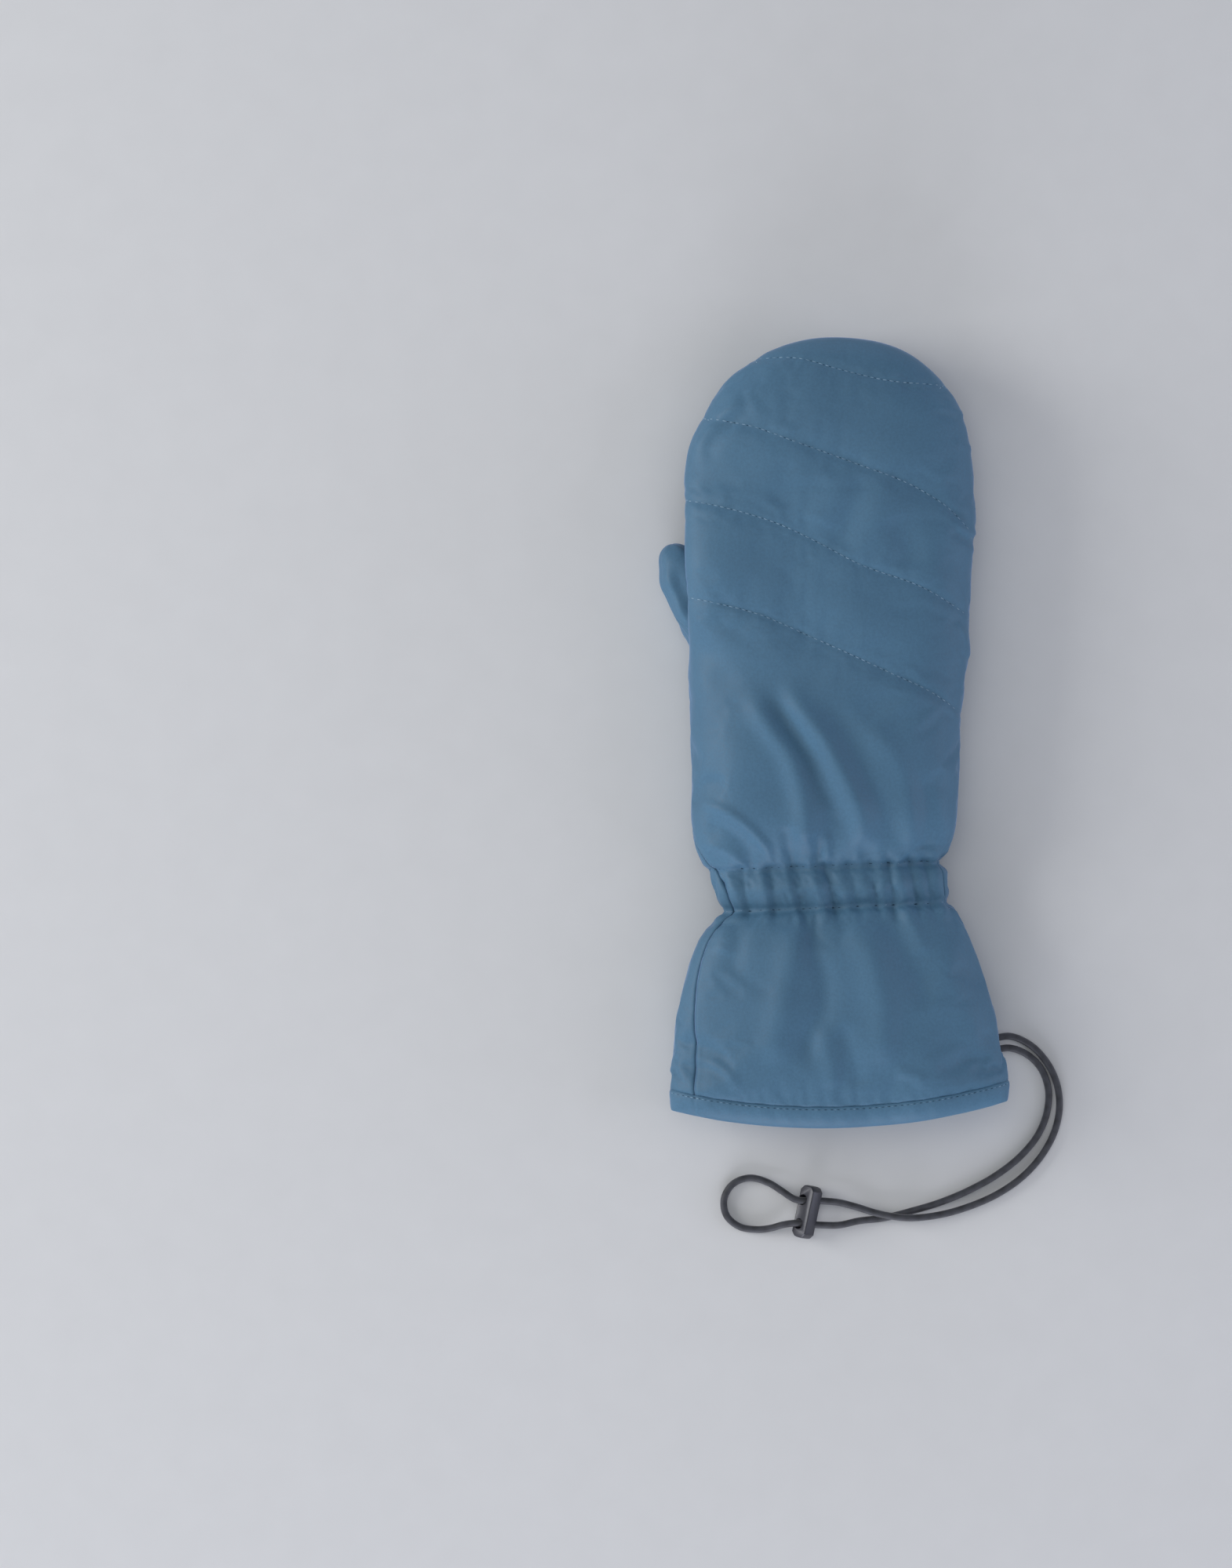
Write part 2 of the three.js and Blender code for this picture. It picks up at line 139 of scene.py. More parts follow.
# Folds: (line, height, half width). A negative height is a hollow.
FOLDS = [
    # drape of the back between the lowest quilt line and the wrist
    ([(-37, 22), (-33, 10), (-27, 0), (-20, -10), (-16, -21), (-13.5, -33), (-13, -54)], 2.4, 4.6),
    ([(-28, 22), (-24, 10), (-17.5, 0), (-10.5, -10), (-6, -21), (-1, -33), (1.5, -50)], -2.1, 4.5),
    ([(-22, 26), (-15.5, 10), (-8, 0), (-1.5, -10), (4.5, -21), (9.5, -33), (11, -54)], 2.5, 4.8),
    ([(-7, 18), (-2, 8), (4, 0), (9, -10), (14, -21), (21, -33), (24, -46), (23, -56)], -1.8, 5.4),
    ([(12, 8), (16, 0), (24, -10), (29, -21), (31, -33), (32, -54)], 1.2, 5),
    ([(36, -16), (38, -33), (37, -54)], -1, 4),
    ([(44, -22), (46, -38), (44, -56)], 0.9, 4),
    ([(-60, -28), (-54, -30), (-45.5, -33), (-37, -39), (-30, -47), (-26, -58)], 1.5, 2.2),
    ([(-58, -38), (-50, -39), (-42, -43), (-36, -50), (-33, -58)], -1.2, 3),
    ([(-57, -46), (-51, -47), (-44, -49.7), (-39.5, -54.5), (-36, -61)], 1.1, 2),
    ([(-21, -38), (-20, -46), (-20, -58)], -1, 3),
    ([(-9, -42), (-8, -50), (-8, -58)], -0.8, 2.4),
    ([(-4.5, -42), (-3.5, -50), (-4, -60)], 0.9, 2.2),
    # soft hollows between the quilt lines
    ([(14, 112), (9, 97), (4, 83), (1, 74)], -1.5, 6),
    ([(1, 112), (-3, 98), (-8, 86)], 1.1, 7),
    ([(24, 92), (30, 80), (33, 68)], -1.2, 6),
    ([(-20, 116), (-22, 104), (-24, 94)], -0.8, 5),
    ([(-18, 146), (-20, 138), (-22, 128)], -0.7, 5),
    # creases at the little-finger edge
    ([(22, 149.6), (34, 147.4), (48, 146.8)], 1, 1.7),
    ([(24, 146.4), (36, 144), (51, 143.2)], -0.8, 2.2),
    ([(41, 137.6), (48, 136.2), (56, 134)], 0.7, 1.6),
    ([(40, 134.8), (49, 133), (57, 130.6)], -0.6, 2),
    ([(50, 122.6), (60, 120)], 0.6, 1.6),
    ([(50, 90), (54, 85.5), (61, 83.2)], 0.7, 1.6),
    ([(48, 86), (54, 81.5), (61, 79.4)], -0.7, 2.2),
    ([(49, 53), (55, 49), (60, 48)], 0.6, 1.6),
    ([(51, 47), (55, 40), (57, 30)], 0.8, 1.8),
    # rolled edge inside the thumb-side outline
    ([(-60, 114), (-54, 127), (-46, 135), (-38, 141)], 1, 2.4),
    ([(-56, 112), (-50, 124), (-43, 131), (-34, 138)], -0.8, 3),
    ([(-57, -30), (-57.5, -8), (-57, 14), (-57, 34)], 1.3, 7),
    # cuff
    ([(-15, -74), (-17, -86), (-18.5, -95), (-20, -105), (-22.5, -118), (-25, -130), (-26, -144)], 2, 6.2),
    ([(-10, -74), (-9.5, -86), (-8, -95), (-5, -105), (-5, -116), (-11, -130), (-12, -144)], -1.6, 4.6),
    ([(3, -74), (10, -86), (14.5, -95), (17, -105), (20, -118), (20, -130), (20, -146)], 2.1, 6.8),
    ([(21, -72), (26, -86), (30, -95), (35, -105), (41, -120)], -1.6, 6),
    ([(-5, -122), (-5, -130), (-2, -142), (0, -152)], 1, 4),
    ([(3, -122), (4.5, -130), (8, -142), (10, -152)], -1.1, 4),
    ([(-46, -74), (-46, -84), (-48, -94)], 0.9, 4),
    ([(-40, -74), (-41, -86), (-44, -104)], -1, 4.5),
    ([(30, -74), (34, -86), (38, -96)], 0.8, 4),
    ([(46, -84), (52, -102), (58, -120), (62, -140)], 1, 6),
    ([(-55, -142), (-45, -147), (-40, -154)], 0.7, 2.4),
    ([(24, -145), (32, -147), (39, -152)], 0.8, 2.6),
]
# Crests of the pleats across the back of the wrist, between and a little past the rows of stitching.
WRIST_CRESTS = (-43, -30.5, -19, -7.5, 4, 12.5, 20, 28, 36, 44)
# Folds of the palm, seen from below with the same x and y.
PALM_FOLDS = [
    ([(-52, 10), (-30, 4), (0, -2), (30, -4), (50, -2)], -1.6, 5),
    ([(-48, -18), (-20, -24), (12, -24), (44, -18)], 1.4, 6),
    ([(-20, -78), (-22, -100), (-26, -130)], 2, 8),
    ([(14, -78), (16, -100), (22, -132)], -2, 8),
    ([(46, 110), (30, 96), (6, 92)], -1.1, 6),
]

PLEATS = 34  # gathers round the wrist
SEAM_BLEND = 9  # columns over which the two panels are brought together at a seam
MOST_INSET = (0.2, 0.024)  # how far in a seam may lie on the back and on the palm, of the half width
ROW_GROOVE = (1.5, 1.7)  # depth and half width of the groove that a wrist row of stitching pulls

# The cloth simulation that fills the shell
ROW_STEP = 2  # rows and columns of the finished mesh per point of the simulated cloth
COLUMN_STEP = 2
CLOTH_FRAMES = 22
CLOTH = {
    "quality": 6,
    "mass": 0.3,
    "tension_stiffness": 20,
    "compression_stiffness": 20,
    "shear_stiffness": 8,
    "bending_stiffness": 1.5,
    "vertex_group_mass": "held",
    "vertex_group_shrink": "spare",
    "shrink_min": -0.01,  # the cloth is this much larger than the form it covers
    "shrink_max": -0.09,  # and this much at the wrist
    "use_pressure": True,
    "uniform_pressure_force": 3.5,
}
MOST_PUFF = 4  # millimetres that a point may move
STITCH_PITCH = 2.7
STITCH_LENGTH = 1.75
STITCH_WIDTH = 0.4
PULLED = 0.14  # how much deeper the wrist and hem stitches lie
TAB_FOLD = 2  # how far the tab's fold reaches past the cord's ends
BAR_PITCH = 0.7  # the tab's bars of close stitches
BAR_WIDTH = 1.6

# ---- Thumb, label, leash and lock ------------------------------------------------------------------
THUMB_ROOT_PIVOT = (-51.6, 38)
THUMB_LEAN = math.radians(22)
THUMB_HALF_WIDTH = 10.2
THUMB_THICKNESS = 26
THUMB_UNDERSIDE = 0.6
THUMB_LENGTH = 45.4
THUMB_TIP_LENGTH = 18
THUMB_BURIED = 16  # how far the thumb's root reaches into the hand
THUMB_TIP_SQUARENESS = 2.05
THUMB_TIP_SLANT = 0.22
THUMB_RADIUS = 13  # turns an angle round the thumb into a length along its skin
PALM_OVER_THUMB = 1.5  # room between the thumb's top and the palm that drapes over it

CORD_DIAMETER = 3
CORD_POINTS = [
    (69, -131.2, 4.2), (76, -130.4, 2.6), (84, -133.6, 1.6), (91.5, -141, 1.6), (96.3, -151, 1.6),
    (97.4, -161, 1.6), (95.4, -171, 1.6), (90.2, -181, 1.6), (82, -190.3, 1.6), (71.4, -197.8, 1.6),
    (58.6, -203.5, 1.7), (45.2, -207.1, 2.7), (32, -208.1, 4.7), (19, -206.2, 3.5), (10, -203.4, 4),
    (3, -201.6, 4.35), (-5, -200.8, 4.35), (-16.5, -200, 4.35), (-21.5, -196.8, 3.4),
    (-27.5, -193.2, 1.9), (-35.6, -191.2, 1.6), (-42.8, -194, 1.6), (-46.4, -200.4, 1.6),
    (-45.4, -207.2, 1.6), (-40.2, -211.9, 1.6), (-33, -213.3, 1.6), (-26, -212.6, 2.4),
    (-21.5, -211.2, 3.8), (-16.5, -210.4, 4.35), (-5, -211.2, 4.35), (3, -211.2, 4.35),
    (11, -209.6, 2.9), (22, -208.4, 1.6), (34, -205.4, 1.6), (46, -201.8, 1.6), (58.5, -196.6, 1.6),
    (70.4, -190, 1.6), (81, -181.6, 1.6), (88.4, -172.4, 1.6), (92.2, -162.4, 1.6), (92.4, -152, 1.6),
    (88.6, -143, 1.6), (82, -137.4, 1.7), (75.4, -135.4, 2.8), (69, -136.4, 4.2),
]
LOCK_CENTRE = (-10.8, -205.6, 4.35)
LOCK_LENGTH = 22
LOCK_WIDTH = 8
LOCK_DEPTH = 5.8
LOCK_CHAMFER = 1.7
LOCK_TURN = math.radians(-12)
LOCK_ROLL = math.radians(42)
LOCK_HOLE_DIAMETER = 4.6
LOCK_HOLE_TILT = math.radians(20)
LOCK_HOLE_SPACING = 10.35
SLIDE_TURN = math.radians(-4)

# ---- Camera ----------------------------------------------------------------------------------------
VIEW_CENTRE = (-92.7, -22.3, 22)
VIEW_TALL = 0.6667  # metres, at half the mitten's height
CAMERA_HEIGHT = 2.4  # metres above that
SENSOR = 36


# ---- Small tools -----------------------------------------------------------------------------------
def smooth(points, at):
    """A smooth curve through (place, value) points with rising places, read at the places given."""
    knots = np.array([p[0] for p in points], float)
    values = np.array([p[1] for p in points], float)
    at = np.clip(at, knots[0], knots[-1])
    slopes = np.gradient(values, knots, axis=0)
    cell = np.clip(np.searchsorted(knots, at) - 1, 0, len(knots) - 2)
    span = knots[cell + 1] - knots[cell]
    t = (at - knots[cell]) / span
    if values.ndim > 1:
        t, span = t[:, None], span[:, None]
    ends = (2 * t**3 - 3 * t**2 + 1) * values[cell] + (3 * t**2 - 2 * t**3) * values[cell + 1]
    bends = (t**3 - 2 * t**2 + t) * slopes[cell] + (t**3 - t**2) * slopes[cell + 1]
    return ends + span * bends


def curve_through(points, count):
    """Evenly spaced points on a smooth curve through given points."""
    points = np.array(points, float)
    chord = np.r_[0, np.cumsum(np.linalg.norm(np.diff(points, axis=0), axis=1))]
    dense = smooth(list(zip(chord, points)), np.linspace(0, chord[-1], 12 * len(points)))
    length = np.r_[0, np.cumsum(np.linalg.norm(np.diff(dense, axis=0), axis=1))]
    even = np.linspace(0, length[-1], count)
    return np.stack([np.interp(even, length, dense[:, k]) for k in range(dense.shape[1])], axis=1)


def length_of(points):
    """Length of a line of points."""
    return float(np.linalg.norm(np.diff(points, axis=0), axis=1).sum())


def step(value, low, high):
    """Rises smoothly from 0 at low to 1 at high."""
    t = np.clip((value - low) / (high - low), 0, 1)
    return t * t * (3 - 2 * t)


def bump(distance, width):
    """A soft hump of height 1."""
    return np.exp(-((distance / width) ** 2))


def near_line(x, y, line, count=32):
    """Distance of every point from a line, and how far along the line that is, from 0 to 1."""
    path = curve_through(line, count)
    nearest = np.hypot(x[..., None] - path[:, 0], y[..., None] - path[:, 1]).argmin(axis=-1)
    ahead = np.gradient(path, axis=0)[nearest]
    dx, dy = x - path[nearest, 0], y - path[nearest, 1]
    part = (dx * ahead[..., 0] + dy * ahead[..., 1]) / (ahead**2).sum(axis=-1)
    part = np.clip(part, np.where(nearest > 0, -0.6, 0), np.where(nearest < count - 1, 0.6, 0))
    gap = np.hypot(dx - part * ahead[..., 0], dy - part * ahead[..., 1])
    return gap, np.clip((nearest + part) / (count - 1), 0, 1)


def linear(hex_colour):
    """An sRGB hex value as the linear colour that the shader wants."""
    srgb = [int(hex_colour[k : k + 2], 16) / 255 for k in (1, 3, 5)]
    return tuple(c / 12.92 if c <= 0.04045 else ((c + 0.055) / 1.055) ** 2.4 for c in srgb) + (1.0,)


# ---- The smooth form ---------------------------------------------------------------------------------
def lift(x, y, z):
    """How far the thumb-side edge is raised."""
    across = step(-x, -LIFT_FROM_X, -LIFT_TO_X)
    along = np.maximum(0, 1 - ((y - LIFT_MIDDLE_Y) / LIFT_REACH_Y) ** 2) ** 2
    return LIFT * across * along * (1 + (LIFT_AT_TOP - 1) * z / THICKNESS)


def form_rows(rows, depth=0.0, start=HEM_SEAM):
    """Places along the mitten from the hem to the fingertip, close together in the rounded end.

    Returns for each row its y, middle x, half width, underside and top."""
    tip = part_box("back_shell")[1][1] / MM - FINGER_BASE - depth
    straight = FINGER_BASE - start
    bend = tip * 1.1
    in_tip = max(8, round(rows * bend / (straight + bend)))
    y = np.r_[np.linspace(start, FINGER_BASE, rows - in_tip, endpoint=False), np.full(in_tip, FINGER_BASE)]
    angle = np.r_[np.zeros(rows - in_tip), np.linspace(0, math.pi / 2, in_tip)]
    left, right = smooth(LEFT_EDGE, y) + depth, smooth(RIGHT_EDGE, y) - depth
    top, under = smooth(TOP_HEIGHT, y) - depth, smooth(UNDERSIDE, y) + depth
    rise = np.sin(angle)
    left, right = (
        TIP_MIDDLE_X + (edge - TIP_MIDDLE_X) * np.maximum(0, 1 - rise**n) ** (1 / n)
        for edge, n in zip((left, right), TIP_SQUARENESS)
    )
    thinning = np.cos(angle) ** TIP_THINNING
    thinning[-1] = 0
    centre = (top + under) / 2
    half = (top - under) / 2 * thinning
    return y + tip * rise, (left + right) / 2, (right - left) / 2, centre - half, centre + half


def section(row, start, stop, count, fine=240):
    """Evenly spaced points round part of one row's section, between two angles."""
    y, middle, half_width, under, top = row
    angle = np.linspace(start, stop, fine)
    c, s = np.cos(angle), np.sin(angle)
    x = middle + half_width * np.sign(c) * np.abs(c) ** (2 / SQUARENESS)
    up = np.sign(s) * np.abs(s) ** (2 / SQUARENESS)
    half = (top - under) / 2
    sink = FLOOR_SINK / 2 * min(1, half / 10)
    z = np.maximum(under, under - sink + half + (half + sink) * up)
    z = z + lift(x, np.full_like(x, y), z)
    length = np.r_[0, np.cumsum(np.hypot(np.diff(x), np.diff(z)))]
    even = np.linspace(0, length[-1], count)
    points = np.stack([np.interp(even, length, x), np.full(count, y), np.interp(even, length, z)], axis=1)
    return points, even


def seam_angle(half_width, inset):
    """Where on the section a seam lies that is some way in from the edge, evened out along the mitten."""
    share = 1 - np.clip(np.abs(inset) / np.maximum(half_width, 1), 0, np.where(inset > 0, *MOST_INSET))
    angle = np.sign(inset) * np.arccos(share ** (SQUARENESS / 2))
    reach = len(angle) // 15
    padded = np.pad(angle, reach, mode="edge")
    return np.convolve(padded, np.hanning(2 * reach + 1) / reach, mode="valid")


def panel_grid(rows, columns, side, depth=0.0, start=HEM_SEAM):
    """A grid of points over the back (side 1) or palm (side -1) panel, and each point's distance from
    its nearer side seam."""
    form = form_rows(rows, depth, start)
    grid, seam_gap = np.empty((rows, columns, 3)), np.empty((rows, columns))
    right = seam_angle(form[2], smooth(OTHER_SIDE_SEAM, form[0]))
    left = math.pi - seam_angle(form[2], smooth(THUMB_SIDE_SEAM, form[0]))
    for r in range(rows):
        ends = (right[r], left[r]) if side > 0 else (left[r], right[r] + 2 * math.pi)
        points, even = section([part[r] for part in form], *ends, columns)
        grid[r] = points
        seam_gap[r] = np.minimum(even, even[-1] - even)
    return grid, seam_gap


def hem_bow(grid):
    """Lets the hem hang lower in its middle, and tilts the wrist, as the sewn mitten does."""
    x, y = grid[..., 0], grid[..., 1]
    bow = HEM_RISE * ((x - HEM_MIDDLE_X) / HEM_HALF_WIDTH) ** 2 * step(-y, 95, -HEM_SEAM)
    tilt = ROW_SLOPE * x * bump(y - (ROW_TOP + ROW_BOTTOM) / 2, ROW_SLOPE_REACH)
    grid[..., 1] = y + bow + tilt
    return grid


def normals(grid):
    """Outward unit normals of a grid of points."""
    along = np.gradient(grid, axis=0)
    around = np.gradient(grid, axis=1)
    n = np.cross(along, around)
    size = np.linalg.norm(n, axis=-1, keepdims=True)
    n = n / np.maximum(size, 1e-9)
    n[-1] = (0, 1, 0)
    return n


# ---- Folds, gathers and seams ------------------------------------------------------------------------
def pleat_list():
    """The wrist's gathers: place round the wrist, width, height, slant, and reach up and down."""
    dice = random.Random(7)
    pleats, place = [], 0.0
    for _ in range(PLEATS):
        place += dice.uniform(0.7, 1.3) / PLEATS
        pleats.append(
            (
                place,
                dice.uniform(0.005, 0.011),
                dice.uniform(0.3, 1.2),
                dice.uniform(-0.0011, 0.0003),
                dice.uniform(2, 12),
                dice.uniform(3, 20),
            )
        )
    return [(p[0] / place, *p[1:]) for p in pleats]


def gathers(round_share, y):
    """Height of the wrist's pleats at a place round the mitten (0 to 1) and along it."""
    total = np.zeros_like(y)
    for place, width, height, slant, up, down in pleat_list():
        off = round_share - place - slant * (y - ROW_TOP)
        off = (off + 0.5) % 1 - 0.5
        above = np.maximum(0, y - ROW_TOP)
        below = np.maximum(0, ROW_BOTTOM - y)
        spread = 1 + 0.035 * (above + below)
        fade = np.exp(-((above / up) ** 1.5)) * np.exp(-((below / down) ** 1.5))
        total += height * fade * bump(off, width * spread)
    return total - 0.5 * bump(np.maximum(0, np.maximum(y - ROW_TOP, ROW_BOTTOM - y)), 12)


def ripple(x, y, size, seed):
    """A smooth random swell about 1 high, with waves of the size given."""
    dice = np.random.default_rng(seed)
    total = np.zeros_like(x)
    for _ in range(9):
        turn, phase = dice.uniform(0, 2 * math.pi, 2)
        wave = 2 * math.pi / (size * dice.uniform(0.7, 1.5))
        total += np.sin(wave * (x * math.cos(turn) + y * math.sin(turn)) + phase)
    return total / 3


def fold_heights(x, y, folds):
    """Summed height of a list of folds, each fading out at its ends."""
    total = np.zeros_like(x)
    for line, height, width in folds:
        gap, along = near_line(x, y, line)
        fade = step(along, 0, 0.24) * (1 - step(along, 0.82, 1))
        total += height * fade * bump(gap, width)
    return total


def wrist_pleats(x, y):
    """The broad pleats across the back of the wrist, each leaning and fading in its own way."""
    dice = random.Random(11)
    total = np.zeros_like(x)
    for crest in WRIST_CRESTS:
        lean = dice.uniform(-0.26, -0.02)
        height, width = dice.uniform(0.6, 1.5), dice.uniform(1.9, 3.4)
        up, down = dice.uniform(2, 7), dice.uniform(2, 9)
        off = x - crest - lean * (y - (ROW_TOP + ROW_BOTTOM) / 2)
        fade = bump(np.maximum(0, y - ROW_TOP), up) * bump(np.maximum(0, ROW_BOTTOM - y), down)
        crease = 0.55 * bump(off - 1.7 * width, width) + 0.3 * bump(off - 1.5 * width, 0.8)
        total += height * fade * (bump(off, width) - crease)
    return total


def row_cinch(y):
    """The narrow groove that each wrist row of stitching pulls."""
    depth, width = ROW_GROOVE
    return -depth * bump(y - ROW_TOP, width) - depth * bump(y - ROW_BOTTOM, width)


def panel_relief(grid, seam_gap, side):
    """How far each point of a panel stands off the smooth form."""
    x, y = grid[..., 0], grid[..., 1]
    columns = grid.shape[1]
    share = np.linspace(0, 0.5, columns)[None, :] + (0 if side > 0 else 0.5)
    round_share = np.broadcast_to(share, y.shape)
    away = np.abs(y - (ROW_TOP + ROW_BOTTOM) / 2)
    relief = gathers(round_share, y) * (0.35 if side > 0 else 0.9) + row_cinch(y)
    relief += 0.45 * ripple(x, y, 34, 3 if side > 0 else 4) * step(away, 8, 30)
    relief += 0.2 * bump(seam_gap - 1.5, 0.7) - 0.3 * bump(seam_gap, 0.8) - 0.25 * bump(seam_gap, 4)
    if side > 0:
        relief += fold_heights(x, y, FOLDS) + wrist_pleats(x, y)
        for seed, line in enumerate(QUILT_LINES):
            gap, _ = near_line(x, y, line, 60)
            pucker = 0.2 * ripple(x, y, 9, 20 + seed) * bump(gap, 5)
            relief += -0.4 * bump(gap, 4) - 0.4 * bump(gap, 1) + pucker
    else:
        relief += fold_heights(x, y, PALM_FOLDS)
    return relief


def resample(values, rows, columns):
    """A coarse grid of values as a smooth finer one."""
    for count in (rows, columns):
        knots = np.linspace(0, 1, len(values))
        flat = values.reshape(len(values), -1)
        fine = smooth(list(zip(knots, flat)), np.linspace(0, 1, count))
        values = np.swapaxes(fine.reshape(count, *values.shape[1:]), 0, 1)
    return values


def held_by_stitching(grid, side):
    """How firmly each point of a panel is held by its stitching, from 0 to 1."""
    x, y, z = grid[..., 0], grid[..., 1], grid[..., 2]
    held = np.maximum(bump(y - ROW_TOP, 2.6), bump(y - ROW_BOTTOM, 2.6))
    held[0] = 1
    if side > 0:
        for line in QUILT_LINES:
            held = np.maximum(held, 0.95 * bump(near_line(x, y, line, 60)[0], 2.4))
    else:
        held = np.maximum(held, 0.5 * step(-z, -3, -1))
    return held


def blow_up(grids):
    """Fills the two panels like a bag, as cloth that is a little too large for its stitching, and
    returns how far each point of each panel moved."""
    coarse = [grid[::ROW_STEP, ::COLUMN_STEP] for grid in grids]
    held = [held_by_stitching(grid, side) for grid, side in zip(coarse, (1, -1))]
    bag = np.concatenate([grid[:, :-1] for grid in coarse], axis=1)
    held = np.concatenate([part[:, :-1] for part in held], axis=1)
    rows, columns = bag.shape[:2]
    points = np.concatenate([bag[:-1].reshape(-1, 3), bag[-1:, 0], bag[0].mean(axis=0)[None]])
    faces = grid_faces(rows - 1, columns, wrap_columns=True)
    pole, mouth = len(points) - 2, len(points) - 1
    top = (rows - 2) * columns
    faces += [(top + c, pole, top + (c + 1) % columns) for c in range(columns)]
    faces += [(mouth, c, (c + 1) % columns) for c in range(columns)]
    cloth = mesh_object("cloth_to_fill", points, faces)
    grip = np.r_[held[:-1].ravel(), 0, 1]
    away = np.abs(points[:, 1] - (ROW_TOP + ROW_BOTTOM) / 2)
    spare = np.clip(bump(np.maximum(0, away - 8), 16), 0, 1)
    for name, weights in (("held", grip), ("spare", spare)):
        group = cloth.vertex_groups.new(name=name)
        for index, weight in enumerate(weights):
            if weight > 0.004:
                group.add([index], float(weight), "REPLACE")
    modifier = cloth.modifiers.new("Cloth", "CLOTH")
    for key, value in CLOTH.items():
        setattr(modifier.settings, key, value)
    modifier.settings.effector_weights.gravity = 0
    modifier.collision_settings.use_collision = False
    modifier.point_cache.frame_end = CLOTH_FRAMES
    for number in range(1, CLOTH_FRAMES + 1):
        bpy.context.scene.frame_set(number)
    pick(cloth)
    bpy.ops.object.modifier_apply(modifier=modifier.name)
    filled = np.empty(len(points) * 3)
    cloth.data.vertices.foreach_get("co", filled)
    bpy.data.objects.remove(cloth)
    bpy.context.scene.frame_set(1)
    moved = filled.reshape(-1, 3) / MM - points
    far = np.linalg.norm(moved, axis=1, keepdims=True)
    moved *= MOST_PUFF * np.tanh(far / MOST_PUFF) / np.maximum(far, 1e-6)
    moved = np.concatenate([moved[: (rows - 1) * columns], np.repeat(moved[pole][None], columns, axis=0)])
    moved = moved.reshape(rows, columns, 3)
    split = coarse[0].shape[1] - 1
    halves = moved[:, : split + 1], np.concatenate([moved[:, split:], moved[:, :1]], axis=1)
    return [resample(half, *grid.shape[:2]) for half, grid in zip(halves, grids)]


def over_thumb(grid):
    """The palm drapes over the top of the thumb, which lies under its edge."""
    along, across = thumb_frame(grid[..., 0], grid[..., 1])
    reach = np.clip((along + 6) / (THUMB_LENGTH + 9), 0, 1)
    half = (THUMB_HALF_WIDTH + 3) * np.sqrt(np.maximum(0, 1 - np.maximum(0, reach - 0.7) ** 2 / 0.09))
    inside = np.clip(1 - (across / np.maximum(half, 0.1)) ** 2, 0, 1) * (reach > 0) * (reach < 1)
    crown = (THUMB_UNDERSIDE + THUMB_THICKNESS + PALM_OVER_THUMB) * step(along, -5, 12) * np.sqrt(inside)
    grid[..., 2] = np.where(inside > 0, np.maximum(grid[..., 2], crown), grid[..., 2])
    return grid


# ---- Meshes ------------------------------------------------------------------------------------------
def mesh_object(name, vertices, faces, uvs=None):
    """A new object from millimetre points, with smooth shading and an optional UV map in metres."""
    mesh = bpy.data.meshes.new(name)
    mesh.from_pydata([tuple(v) for v in np.asarray(vertices) * MM], [], [tuple(f) for f in faces])
    if uvs is not None:
        layer = mesh.uv_layers.new(name="cloth")
        corners = np.empty(len(mesh.loops), int)
        mesh.loops.foreach_get("vertex_index", corners)
        layer.data.foreach_set("uv", (np.asarray(uvs)[corners] * MM).ravel())
    obj = bpy.data.objects.new(name, mesh)
    bpy.context.collection.objects.link(obj)
    mesh.shade_smooth()
    return obj


def grid_faces(rows, columns, wrap_columns=False, wrap_rows=False):
    """Quads over a grid of points, first index along and second around."""
    faces = []
    for r in range(rows if wrap_rows else rows - 1):
        for c in range(columns if wrap_columns else columns - 1):
            r1, c1 = (r + 1) % rows, (c + 1) % columns
            faces.append((r * columns + c, r1 * columns + c, r1 * columns + c1, r * columns + c1))
    return faces


def grid_object(name, grid, wrap_columns=False, wrap_rows=False):
    """A mesh over a grid of points, with UVs that measure the cloth in millimetres."""
    rows, columns = grid.shape[:2]
    around = np.linalg.norm(np.diff(grid, axis=1), axis=2)
    around = np.concatenate([np.zeros((rows, 1)), np.cumsum(around, axis=1)], axis=1)
    around -= around[:, columns // 2][:, None]
    along = np.linalg.norm(np.diff(grid, axis=0), axis=2).mean(axis=1)
    along = np.r_[0, np.cumsum(along)]
    uvs = np.stack([around, np.broadcast_to(along[:, None], around.shape)], axis=2)
    faces = grid_faces(rows, columns, wrap_columns, wrap_rows)
    return mesh_object(name, grid.reshape(-1, 3), faces, uvs.reshape(-1, 2))


def pick(obj):
    """Makes one object the only selected one, and active."""
    bpy.ops.object.select_all(action="DESELECT")
    obj.select_set(True)
    bpy.context.view_layer.objects.active = obj


def apply_modifier(obj, kind, **settings):
    """Adds a modifier, sets it and applies it."""
    pick(obj)
    modifier = obj.modifiers.new(kind.title(), kind)
    for key, value in settings.items():
        setattr(modifier, key, value)
    bpy.ops.object.modifier_apply(modifier=modifier.name)


def close_pole(obj, recalculate=False):
    """Merges the points that meet at a pole."""
    bm = bmesh.new()
    bm.from_mesh(obj.data)
    bmesh.ops.remove_doubles(bm, verts=bm.verts, dist=2e-6)
    if recalculate:
        bmesh.ops.recalc_face_normals(bm, faces=bm.faces)
    bm.to_mesh(obj.data)
    bm.free()
    obj.data.shade_smooth()


def give(obj, material):
    """Sets a piece's one material."""
    obj.data.materials.clear()
    obj.data.materials.append(material)
    return obj


